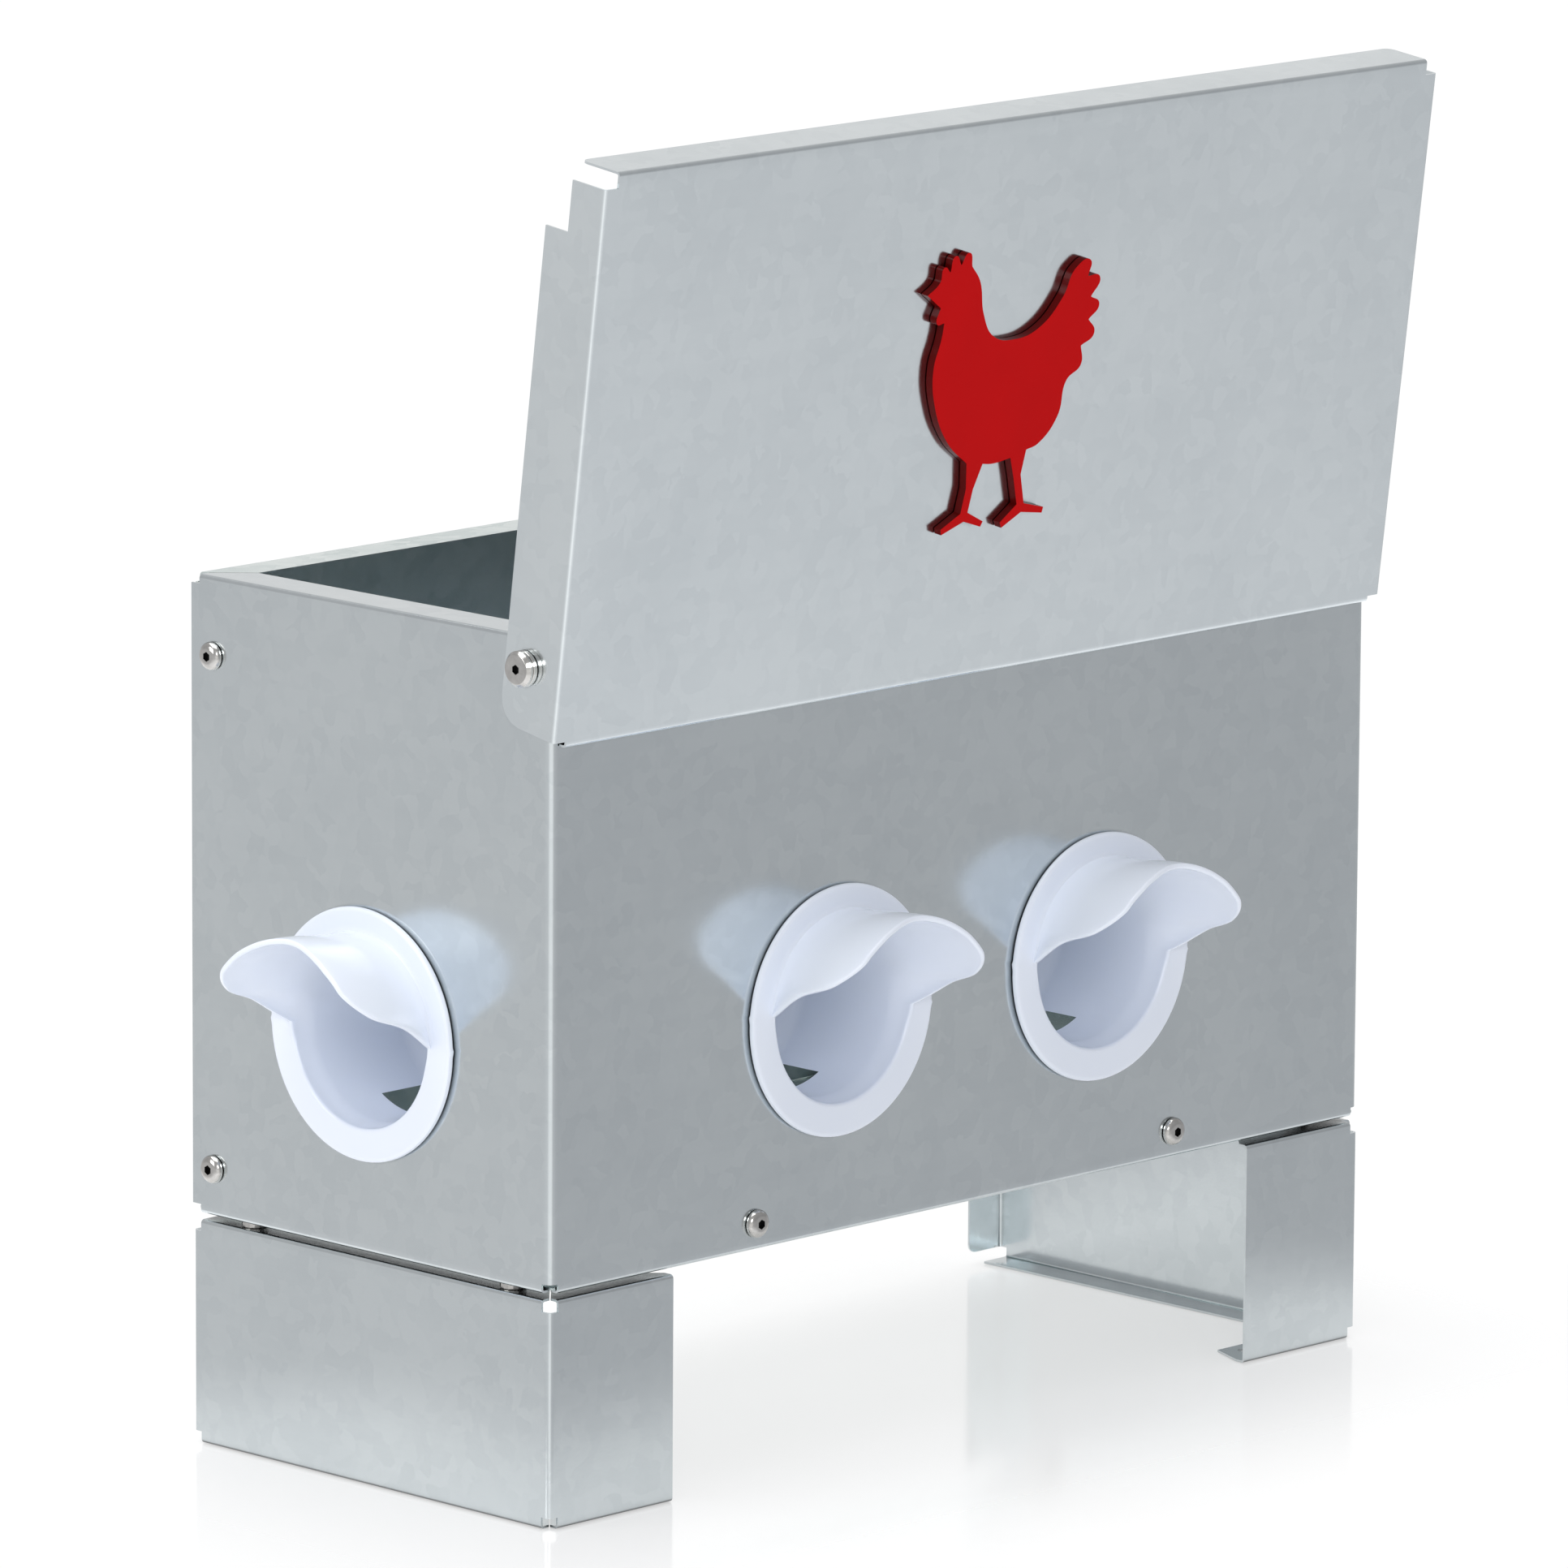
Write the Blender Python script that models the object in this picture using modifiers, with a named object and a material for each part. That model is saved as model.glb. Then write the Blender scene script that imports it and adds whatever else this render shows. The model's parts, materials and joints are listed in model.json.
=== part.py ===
"""Gravity poultry feeder: a folded galvanised box on two folded legs, with a hinged lid and feed ports.

The box is one sheet wrapped round the front and both ends, a back panel and a floor pan, bolted
together. Four moulded ports with rain visors sit in its walls. The lid turns on two pivot bolts near
the front top edge, and stands open against the front wall.
Units are metres and +Z is up. The front faces -Y. The origin is on the floor, at the middle of the
whole object's bounding box. The lid is modelled standing open, which is its rest position.
"""

import math

import bmesh
import bpy
from mathutils import Euler, Matrix, Vector

MM = 0.001

# Sheet metal
SHEET = 0.8 * MM
CLEAR = 0.3 * MM  # running gap between any two pieces that lie against each other
RELIEF = 4.0 * MM  # corner relief, where two folds would meet
FOLD_RADIUS = 1.4 * MM
FOLD_SEGMENTS = 2
CORNER_SEGMENTS = 3

# Box
LENGTH = 400.0 * MM
DEPTH = 174.0 * MM
LEG_HEIGHT = 78.4 * MM
LEG_GAP = 2.2 * MM  # left by the collars of the rivet nuts
BOX_HEIGHT = 221.4 * MM
BOX_CORNER_RADIUS = 3.5 * MM
RIM_WIDTH = 16.0 * MM  # inward flange round the mouth
SILL_WIDTH = 14.0 * MM  # inward flange round the bottom
BACK_TAB_WIDTH = 16.0 * MM
PAN_TURN_UP = 13.0 * MM

# Legs
LEG_CORNER_RADIUS = 2.0 * MM
LEG_FRONT_RETURN = 58.0 * MM
LEG_BACK_RETURN = 17.0 * MM
LEG_TOP_FLANGE = 12.5 * MM
LEG_END_FOOT = 12.5 * MM
LEG_FRONT_FOOT = 18.0 * MM
ANCHOR_HOLE_RADIUS = 2.0 * MM

# Feed ports
PORT_SPACING = 128.0 * MM
PORT_HEIGHT = 157.8 * MM
PORT_TURN_DEG = -4.5  # the ports aren't keyed, and sit slightly turned in their holes
END_PORT_HEIGHT = 155.8 * MM
END_PORT_SETBACK = 1.8 * MM  # behind the middle of the end wall
END_PORT_TURN_DEG = 1.0
PORT_FLANGE_RADIUS = 43.5 * MM
PORT_FLANGE_THICKNESS = 3.0 * MM
THROAT_RADIUS = 31.0 * MM
PORT_MOUTH_RADIUS = 33.0 * MM
PORT_WALL = 2.0 * MM
THROAT_LENGTH = 44.0 * MM
PORT_DEPTH = 56.0 * MM
FEED_SLOT_START = 23.0 * MM
FEED_SLOT_TOP = 26.2 * MM  # below the port's axis
RING_RADIUS = 39.5 * MM
RING_THICKNESS = 5.0 * MM
PORT_SEGMENTS = 32
VISOR_ROOT_RADIUS = 34.0 * MM
VISOR_THICKNESS = 2.0 * MM
# Free edge of the visor from its crown down one side: angle from the top, radius, reach from the wall.
VISOR_EDGE = (
    (0.0, 36.4 * MM, 35.8 * MM),
    (26.3, 36.3 * MM, 38.2 * MM),
    (50.1, 36.8 * MM, 39.0 * MM),
    (66.7, 37.8 * MM, 31.1 * MM),
    (76.4, 38.0 * MM, 16.9 * MM),
    (90.0, 33.8 * MM, 3.2 * MM),
)

# Lid, in its own frame: the hinge axis at y = z = 0, the panel towards +Y and its outer face at LID_RISE
LID_OPEN_DEG = 97.2
LID_HALF_WIDTH = 202.7 * MM
LID_RISE = 16.1 * MM
LID_FRONT_REACH = 24.2 * MM
LID_BACK_REACH = 171.5 * MM
LID_FRONT_RELIEF = 2.3 * MM
LID_BACK_RELIEF = 5.4 * MM
LID_SIDE_RELIEF = 6.0 * MM
LID_STOP_DEPTH = 3.1 * MM
LID_BACK_FLANGE = 18.4 * MM
LID_SKIRT_DEPTH = 25.8 * MM
LID_SKIRT_STEP = 148.5 * MM  # the skirt is cut back past here, to clear the bolt in the end wall
LID_SKIRT_STEP_DEPTH = 15.4 * MM
LID_SKIRT_ROUND = 9.0 * MM
PIVOT_FROM_FRONT = 9.5 * MM
PIVOT_FROM_TOP = 10.3 * MM

# Hen emblem on the lid: centre in the lid's frame
EMBLEM_X = -5.0 * MM
EMBLEM_Y = 77.0 * MM
EMBLEM_THICKNESS = 3.0 * MM

# M5 fasteners
THREAD_RADIUS = 2.5 * MM
HOLE_RADIUS = 2.9 * MM
HEAD_RADIUS = 4.9 * MM
HEAD_HEIGHT = 2.7 * MM
HEX_KEY = 3.0 * MM
NUT_FLATS = 8.0 * MM
NUT_HEIGHT = 4.0 * MM
BOLT_LENGTH = 9.0 * MM
PIVOT_HEAD_RADIUS = 6.15 * MM
PIVOT_HEAD_HEIGHT = 2.3 * MM
PIVOT_DISC_HEIGHT = 1.7 * MM
COLLAR_RADIUS = 4.5 * MM
RIVET_RADIUS = 3.4 * MM
RIVET_LENGTH = 9.0 * MM
BOLT_SEGMENTS = 16
END_BOLT_FROM_BACK = 10.5 * MM
END_BOLT_FROM_TOP = 27.2 * MM
END_BOLT_FROM_BOTTOM = 16.5 * MM
PANEL_BOLT_X = 103.0 * MM
PANEL_BOLT_RISE = 9.2 * MM
LEG_BOLT_INSET = 6.5 * MM
LEG_BOLT_Y = 63.0 * MM

# Derived places
HALF_LENGTH = LENGTH / 2
BOX_BOTTOM = LEG_HEIGHT + LEG_GAP
BOX_TOP = BOX_BOTTOM + BOX_HEIGHT
VISOR_REACH = 39.4 * MM
CENTRE_Y = (VISOR_REACH - HEAD_HEIGHT - CLEAR) / 2  # the visors reach further forward than anything reaches back
FRONT_Y = CENTRE_Y - DEPTH / 2
BACK_Y = CENTRE_Y + DEPTH / 2
PIVOT_Y = FRONT_Y + PIVOT_FROM_FRONT
PIVOT_Z = BOX_TOP - PIVOT_FROM_TOP
PAN_Z = BOX_BOTTOM + SHEET + CLEAR  # underside of the floor pan
PAN_HALF_LENGTH = HALF_LENGTH - 2 * SHEET - 3 * CLEAR


# ---------------------------------------------------------------- scene, collections and materials


def clear_scene():
    for obj in list(bpy.data.objects):
        bpy.data.objects.remove(obj, do_unlink=True)


def new_collection(name, hidden=False):
    collection = bpy.data.collections.new(name)
    bpy.context.scene.collection.children.link(collection)
    collection.hide_render = hidden
    return collection


def new_material(name, colour, roughness, metallic):
    material = bpy.data.materials.new(name)
    material.use_nodes = True
    shader = material.node_tree.nodes["Principled BSDF"]
    shader.inputs["Base Color"].default_value = (*colour, 1.0)
    shader.inputs["Roughness"].default_value = roughness
    shader.inputs["Metallic"].default_value = metallic
    return material


clear_scene()
PARTS = new_collection("gravity_poultry_feeder")
CUTTERS = new_collection("cutters", hidden=True)
GALVANISED = ((0.56, 0.60, 0.62), 0.32, 1.0)
WHITE_PLASTIC = ((0.86, 0.88, 0.91), 0.30, 0.0)
STAINLESS = ((0.62, 0.61, 0.59), 0.22, 1.0)
RED_ACRYLIC = ((0.62, 0.01, 0.01), 0.12, 0.0)
NYLON = ((0.08, 0.08, 0.09), 0.45, 0.0)


def add_object(name, mesh, finish, parent, location=(0, 0, 0), rotation=(0, 0, 0)):
    """A part: named object with a material of its own, placed under its parent empty."""
    obj = bpy.data.objects.new(name, mesh)
    PARTS.objects.link(obj)
    mesh.materials.clear()
    mesh.materials.append(new_material(name, *finish))
    obj.parent = parent
    obj.location = location
    obj.rotation_euler = rotation
    return obj


def add_empty(name, location, rotation=(0, 0, 0), parent=None):
    empty = bpy.data.objects.new(name, None)
    PARTS.objects.link(empty)
    empty.empty_display_size = 0.03
    empty.parent = parent
    empty.location = location
    empty.rotation_euler = rotation
    return empty


def mesh_from(bm, name, smooth_deg=None):
    mesh = bpy.data.meshes.new(name)
    bm.to_mesh(mesh)
    bm.free()
    if smooth_deg is not None:
        mesh.shade_smooth()
        mesh.set_sharp_from_angle(angle=math.radians(smooth_deg))
    return mesh


def add_cutter(name, bm, parent, location=(0, 0, 0), rotation=(0, 0, 0)):
    obj = bpy.data.objects.new(name, mesh_from(bm, name))
    CUTTERS.objects.link(obj)
    obj.hide_render = True
    obj.display_type = "WIRE"
    obj.parent = parent
    obj.location = location
    obj.rotation_euler = rotation
    return obj


def boolean(obj, other, operation="DIFFERENCE"):
    modifier = obj.modifiers.new(other.name, "BOOLEAN")
    modifier.operation = operation
    modifier.solver = "EXACT"
    modifier.object = other


# ------------------------------------------------------------------------------- sheet metal tools

TURN_TO = {
    "X": Matrix.Rotation(math.radians(90), 4, "Y"),
    "Y": Matrix.Rotation(math.radians(-90), 4, "X"),
    "Z": Matrix.Identity(4),
}


def add_cylinder(bm, centre, axis, radius, length, segments=BOLT_SEGMENTS):
    """A closed cylinder centred on a point, for drilling."""
    bmesh.ops.create_cone(
        bm,
        cap_ends=True,
        segments=segments,
        radius1=radius,
        radius2=radius,
        depth=length,
        matrix=Matrix.Translation(centre) @ TURN_TO[axis],
    )


def drill(obj, holes, parent):
    """Cuts round holes, each given as (centre, axis letter, radius, length), with one cutter."""
    bm = bmesh.new()
    for centre, axis, radius, length in holes:
        segments = PORT_SEGMENTS if radius > 10 * MM else 12
        add_cylinder(bm, centre, axis, radius, length, segments)
    boolean(obj, add_cutter(obj.name + "_holes", bm, parent))


def slice_at(bm, point, normal):
    """Adds vertices where a plane crosses the sheet."""
    bmesh.ops.bisect_plane(
        bm,
        geom=bm.verts[:] + bm.edges[:] + bm.faces[:],
        plane_co=point,
        plane_no=normal,
        dist=1e-6,
    )


def drop_faces(bm, test):
    doomed = [face for face in bm.faces if test(face.calc_center_median())]
    bmesh.ops.delete(bm, geom=doomed, context="FACES")


def box_walls(bm, size, centre, keep):
    """The faces of a box whose outward normals point one of the ways in keep."""
    bmesh.ops.create_cube(bm, size=1.0, matrix=Matrix.Translation(centre) @ Matrix.Diagonal((*size, 1.0)))
    wanted = [Vector(normal) for normal in keep]
    bm.normal_update()
    doomed = [f for f in bm.faces if not any(f.normal.dot(n) > 0.9 for n in wanted)]
    bmesh.ops.delete(bm, geom=doomed, context="FACES")


def fold(bm, start, end, turn, mitres=(0.0, 0.0)):
    """Folds a flange from the free edge between two points. Its ends are drawn in by the two mitres."""
    start, end, turn = Vector(start), Vector(end), Vector(turn)
    along = (end - start).normalized()
    reach = (end - start).length

    def on_line(vert):
        offset = vert.co - start
        place = offset.dot(along)
        return (offset - along * place).length < 1e-5 and -1e-5 < place < reach + 1e-5

    edges = [e for e in bm.edges if e.is_boundary and on_line(e.verts[0]) and on_line(e.verts[1])]
    made = bmesh.ops.extrude_edge_only(bm, edges=edges)["geom"]
    for vert in (item for item in made if isinstance(item, bmesh.types.BMVert)):
        at_start = (vert.co - start).dot(along) < reach / 2
        vert.co += turn + along * (mitres[0] if at_start else -mitres[1])


def flange(bm, start, end, way, width, slopes=(1.0, 1.0)):
    """Folds a flange towards a unit vector. Past the corner relief, each end runs in by its slope."""
    start, end, way = Vector(start), Vector(end), Vector(way)
    along = (end - start).normalized()
    gaps = [CLEAR * slope for slope in slopes]
    fold(bm, start, end, way * RELIEF, gaps)
    start += way * RELIEF + along * gaps[0]
    end += way * RELIEF - along * gaps[1]
    run = width - RELIEF
    fold(bm, start, end, way * run, [run * slope for slope in slopes])


def fold_lines(bm, test=None):
    """The edges where two faces of the sheet meet at an angle."""
    bm.normal_update()
    found = [e for e in bm.edges if len(e.link_faces) == 2 and e.calc_face_angle() > 0.5]
    return [e for e in found if test is None or test(e)]


def round_folds(bm, edges, radius, segments):
    bmesh.ops.bevel(
        bm,
        geom=edges,
        offset=radius,
        offset_type="OFFSET",
        segments=segments,
        profile=0.5,
        affect="EDGES",
        clamp_overlap=True,
    )


def is_upright(edge):
    run = edge.verts[1].co - edge.verts[0].co
    return abs(run.z) > 0.9 * run.length


def flange_creases(bm):
    """The square level folds, once the upright ones are already rounded."""
    return fold_lines(bm, lambda e: not is_upright(e) and abs(e.calc_face_angle() - math.pi / 2) < 0.1)


def round_outline_corners(bm, test, radius, segments=3):
    """Rounds free corners of the sheet's outline."""
    corners = [v for v in bm.verts if v.is_boundary and len(v.link_faces) == 1 and test(v.co)]
    bmesh.ops.bevel(bm, geom=corners, offset=radius, segments=segments, profile=0.5, affect="VERTICES")


def add_sheet(name, bm, parent, location=(0, 0, 0), rotation=(0, 0, 0)):
    """The drawn surface is the outer side of the sheet, which is thickened inwards."""
    mesh = mesh_from(bm, name, smooth_deg=35)
    obj = add_object(name, mesh, GALVANISED, parent, location, rotation)
    solidify = obj.modifiers.new("sheet", "SOLIDIFY")
    solidify.thickness = SHEET
    solidify.offset = -1.0
    solidify.use_even_offset = True
    return obj


# --------------------------------------------------------------------------------------- fasteners


def turned(name, profile, segments=BOLT_SEGMENTS):
    """Mesh of a profile of (radius, height) points turned about Z. It runs down its outer side."""
    curve = bmesh.new()
    verts = [curve.verts.new((radius, 0.0, height)) for radius, height in profile]
    for first, second in zip(verts, verts[1:]):
        curve.edges.new((first, second))
    if profile[0][0] > 0:
        curve.edges.new((verts[-1], verts[0]))
    blank = bpy.data.objects.new(name + "_profile", mesh_from(curve, name + "_profile"))
    CUTTERS.objects.link(blank)
    blank.hide_render = True
    screw = blank.modifiers.new("turn", "SCREW")
    screw.axis = "Z"
    screw.steps = segments
    screw.render_steps = segments
    screw.use_merge_vertices = True
    screw.merge_threshold = 0.00001
    bpy.context.view_layer.update()
    evaluated = blank.evaluated_get(bpy.context.evaluated_depsgraph_get())
    mesh = bpy.data.meshes.new_from_object(evaluated)
    mesh.name = name
    bpy.data.objects.remove(blank, do_unlink=True)
    mesh.shade_smooth()
    mesh.set_sharp_from_angle(angle=math.radians(40))
    return mesh


def dome(radius, height, rim, steps):
    """Points from the crown of a domed head out and down to its rim."""
    points = []
    for step in range(steps + 1):
        angle = math.radians(90) * step / steps
        points.append((0.45 * radius + 0.55 * radius * math.sin(angle), rim + (height - rim) * math.cos(angle)))
    return points


def button_bolt_mesh():
    """Button-head screw: the head's seat is at z = 0 and the shank hangs down."""
    head = [(0.0, HEAD_HEIGHT)] + dome(HEAD_RADIUS, HEAD_HEIGHT, 0.5 * MM, 3)
    shank = [(HEAD_RADIUS, 0.0), (THREAD_RADIUS, 0.0), (THREAD_RADIUS, -BOLT_LENGTH), (0.0, -BOLT_LENGTH)]
    return turned("button_bolt", head + shank)


def pivot_bolt_mesh(length):
    """Flat-head connector bolt with a chamfered rim."""
    chamfer = 1.1 * MM
    return turned(
        "pivot_bolt",
        [
            (0.0, PIVOT_HEAD_HEIGHT),
            (PIVOT_HEAD_RADIUS - chamfer, PIVOT_HEAD_HEIGHT),
            (PIVOT_HEAD_RADIUS, PIVOT_HEAD_HEIGHT - chamfer),
            (PIVOT_HEAD_RADIUS, 0.0),
            (THREAD_RADIUS, 0.0),
            (THREAD_RADIUS, -length),
            (0.0, -length),
        ],
    )


def ring_mesh(name, outer, inner, height, segments=BOLT_SEGMENTS):
    """A flat ring standing on z = 0."""
    return turned(name, [(inner, height), (outer, height), (outer, 0.0), (inner, 0.0)], segments)


def rivet_nut_mesh():
    """Threaded insert: a collar on z = 0, and below it a barrel that bulges under the sheet."""
    bore = THREAD_RADIUS + CLEAR
    collar = LEG_GAP - 2 * CLEAR
    bulge = RIVET_RADIUS + 0.8 * MM
    under = -(SHEET + 2 * CLEAR)
    return turned(
        "rivet_nut",
        [
            (bore, collar),
            (COLLAR_RADIUS, collar),
            (COLLAR_RADIUS, 0.0),
            (RIVET_RADIUS, 0.0),
            (RIVET_RADIUS, under),
            (bulge, under - 0.4 * MM),
            (bulge, under - 1.6 * MM),
            (RIVET_RADIUS, under - 2.4 * MM),
            (RIVET_RADIUS, -RIVET_LENGTH),
            (bore, -RIVET_LENGTH),
        ],
    )


def hex_prism(bm, flats, bottom, top):
    """A closed hexagonal bar along Z."""
    radius = flats / math.sqrt(3)
    middle = Matrix.Translation((0, 0, (bottom + top) / 2))
    bmesh.ops.create_cone(
        bm, cap_ends=True, segments=6, radius1=radius, radius2=radius, depth=top - bottom, matrix=middle
    )


def add_bolt(name, mesh, head_height, parent, location, rotation):
    """A socket-head bolt, with its hexagonal socket cut by its own cutter."""
    bolt = add_object(name, mesh.copy(), STAINLESS, parent, location, rotation)
    bm = bmesh.new()
    hex_prism(bm, HEX_KEY, head_height - 1.6 * MM, head_height + 1.0 * MM)
    boolean(bolt, add_cutter(name + "_socket", bm, parent, location, rotation))
    return bolt


def add_nut(name, parent, location, rotation):
    """A hexagon nut standing on z = 0, bored with clearance over the thread."""
    bm = bmesh.new()
    hex_prism(bm, NUT_FLATS, 0.0, NUT_HEIGHT)
    nut = add_object(name, mesh_from(bm, name), STAINLESS, parent, location, rotation)
    bore = bmesh.new()
    add_cylinder(bore, (0, 0, NUT_HEIGHT / 2), "Z", THREAD_RADIUS + CLEAR, 2 * NUT_HEIGHT, 12)
    boolean(nut, add_cutter(name + "_bore", bore, parent, location, rotation))
    return nut


# Turning the local +Z axis to face out of each side of the box
FACING = {
    "front": (math.radians(90), 0, 0),
    "back": (math.radians(-90), 0, 0),
    "left": (math.radians(90), 0, math.radians(-90)),
    "right": (math.radians(90), 0, math.radians(90)),
    "up": (0, 0, 0),
}
OUTWARD = {
    "front": Vector((0, -1, 0)),
    "back": Vector((0, 1, 0)),
    "left": Vector((-1, 0, 0)),
    "right": Vector((1, 0, 0)),
    "up": Vector((0, 0, 1)),
}


def bolt_through(stem, mesh, side, seat, grip, parent):
    """A button bolt seated on an outer face, and the nut behind the sheets it clamps."""
    out = OUTWARD[side]
    add_bolt(stem + "_bolt", mesh, HEAD_HEIGHT, parent, seat + out * CLEAR, FACING[side])
    nut_face = seat - out * (grip + CLEAR + NUT_HEIGHT)
    add_nut(stem + "_nut", parent, nut_face, FACING[side])


# -------------------------------------------------------------------------------------- box pieces


def panel_bolt_seats(y):
    height = BOX_BOTTOM + PANEL_BOLT_RISE
    return {name: Vector((sign * PANEL_BOLT_X, y, height)) for name, sign in (("left", -1), ("right", 1))}


def end_bolt_seats(sign):
    y = BACK_Y - END_BOLT_FROM_BACK
    x = sign * HALF_LENGTH
    return {
        "upper": Vector((x, y, BOX_TOP - END_BOLT_FROM_TOP)),
        "lower": Vector((x, y, BOX_BOTTOM + END_BOLT_FROM_BOTTOM)),
    }


def leg_bolt_places(sign):
    x = sign * (HALF_LENGTH - LEG_BOLT_INSET)
    return {
        "front": Vector((x, CENTRE_Y - LEG_BOLT_Y, LEG_HEIGHT)),
        "back": Vector((x, CENTRE_Y + LEG_BOLT_Y, LEG_HEIGHT)),
    }


def port_places():
    """Where each port's axis meets the outer face, and the side it faces."""
    end_y = CENTRE_Y + END_PORT_SETBACK
    return {
        "port_front_left": ("front", Vector((-PORT_SPACING / 2, FRONT_Y, PORT_HEIGHT))),
        "port_front_right": ("front", Vector((PORT_SPACING / 2, FRONT_Y, PORT_HEIGHT))),
        "port_left_end": ("left", Vector((-HALF_LENGTH, end_y, END_PORT_HEIGHT))),
        "port_right_end": ("right", Vector((HALF_LENGTH, end_y, END_PORT_HEIGHT))),
    }


def front_and_ends(parent):
    """Front wall and both ends in one wrapped sheet, with rim and sill flanges."""
    bm = bmesh.new()
    middle = (0, CENTRE_Y, (BOX_BOTTOM + BOX_TOP) / 2)
    box_walls(bm, (LENGTH, DEPTH, BOX_HEIGHT), middle, [(-1, 0, 0), (1, 0, 0), (0, -1, 0)])
    x_relief = HALF_LENGTH - RELIEF
    y_front = FRONT_Y + RELIEF
    y_back = BACK_Y - RELIEF
    z_low = BOX_BOTTOM + 0.8 * RELIEF
    z_high = BOX_TOP - 0.8 * RELIEF
    for x in (-x_relief, x_relief):
        slice_at(bm, (x, 0, 0), (1, 0, 0))
    for y in (y_front, y_back):
        slice_at(bm, (0, y, 0), (0, 1, 0))
    for z in (z_low, z_high):
        slice_at(bm, (0, 0, z), (0, 0, 1))

    def at_a_corner(point):
        near_end = abs(point.x) > x_relief and (point.y < y_front or point.y > y_back)
        return near_end and (point.z < z_low or point.z > z_high)

    drop_faces(bm, at_a_corner)
    for z, width in ((BOX_TOP, RIM_WIDTH), (BOX_BOTTOM, SILL_WIDTH)):
        for sign in (-1, 1):
            x = sign * HALF_LENGTH
            flange(bm, (x, y_front, z), (x, y_back, z), (-sign, 0, 0), width)
        flange(bm, (-x_relief, FRONT_Y, z), (x_relief, FRONT_Y, z), (0, 1, 0), width)
    round_folds(bm, fold_lines(bm, is_upright), BOX_CORNER_RADIUS, CORNER_SEGMENTS)
    round_folds(bm, flange_creases(bm), FOLD_RADIUS, FOLD_SEGMENTS)
    wrap = add_sheet("front_and_ends", bm, parent)

    holes = []
    for side, place in port_places().values():
        holes.append((place, "Y" if side == "front" else "X", THROAT_RADIUS + PORT_WALL + 0.5 * MM, 10 * MM))
    for seat in panel_bolt_seats(FRONT_Y).values():
        holes.append((seat, "Y", HOLE_RADIUS, 6 * MM))
    for sign in (-1, 1):
        for seat in end_bolt_seats(sign).values():
            holes.append((seat, "X", HOLE_RADIUS, 6 * MM))
        holes.append((Vector((sign * HALF_LENGTH, PIVOT_Y, PIVOT_Z)), "X", HOLE_RADIUS, 6 * MM))
        for place in leg_bolt_places(sign).values():
            holes.append((Vector((place.x, place.y, BOX_BOTTOM)), "Z", HOLE_RADIUS, 6 * MM))
    drill(wrap, holes, parent)


def back_panel(parent):
    """Back wall, with tabs that lie inside the ends, and rim and sill flanges."""
    bm = bmesh.new()
    half = HALF_LENGTH - SHEET - CLEAR
    middle = (0, CENTRE_Y, (BOX_BOTTOM + BOX_TOP) / 2)
    box_walls(bm, (2 * half, DEPTH, BOX_HEIGHT), middle, [(0, 1, 0)])
    x_relief = HALF_LENGTH - RELIEF
    z_low = BOX_BOTTOM + 0.8 * RELIEF
    z_high = BOX_TOP - 0.8 * RELIEF
    for x in (-x_relief, x_relief):
        slice_at(bm, (x, 0, 0), (1, 0, 0))
    for z in (z_low, z_high):
        slice_at(bm, (0, 0, z), (0, 0, 1))
    drop_faces(bm, lambda p: abs(p.x) > x_relief and (p.z < z_low or p.z > z_high))
    for z, width in ((BOX_TOP, RIM_WIDTH), (BOX_BOTTOM, SILL_WIDTH)):
        flange(bm, (-x_relief, BACK_Y, z), (x_relief, BACK_Y, z), (0, -1, 0), width)
    for sign in (-1, 1):
        x = sign * half
        fold(bm, (x, BACK_Y, z_low), (x, BACK_Y, z_high), (0, -BACK_TAB_WIDTH, 0))
    round_folds(bm, fold_lines(bm), FOLD_RADIUS, FOLD_SEGMENTS)
    panel = add_sheet("back_panel", bm, parent)

    holes = [(seat, "Y", HOLE_RADIUS, 6 * MM) for seat in panel_bolt_seats(BACK_Y).values()]
    for sign in (-1, 1):
        holes += [(seat, "X", HOLE_RADIUS, 8 * MM) for seat in end_bolt_seats(sign).values()]
    drill(panel, holes, parent)


def floor_pan(parent):
    """Floor of the hopper, lying on the sill flanges, its front and back edges turned up."""
    bm = bmesh.new()
    front = FRONT_Y + SHEET + CLEAR
    back = BACK_Y - SHEET - CLEAR
    size = (2 * PAN_HALF_LENGTH, back - front, SHEET)
    box_walls(bm, size, (0, (front + back) / 2, PAN_Z + SHEET / 2), [(0, 0, -1)])
    turned_half = PAN_HALF_LENGTH - RELIEF
    for x in (-turned_half, turned_half):
        slice_at(bm, (x, 0, 0), (1, 0, 0))
    for y in (front, back):
        fold(bm, (-turned_half, y, PAN_Z), (turned_half, y, PAN_Z), (0, 0, PAN_TURN_UP))
    round_folds(bm, fold_lines(bm), FOLD_RADIUS, FOLD_SEGMENTS)
    pan = add_sheet("floor_pan", bm, parent)

    holes = []
    for y in (FRONT_Y, BACK_Y):
        holes += [(seat, "Y", HOLE_RADIUS, 8 * MM) for seat in panel_bolt_seats(y).values()]
    for sign in (-1, 1):
        for place in leg_bolt_places(sign).values():
            holes.append((Vector((place.x, place.y, PAN_Z)), "Z", HOLE_RADIUS, 6 * MM))
    drill(pan, holes, parent)


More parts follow.
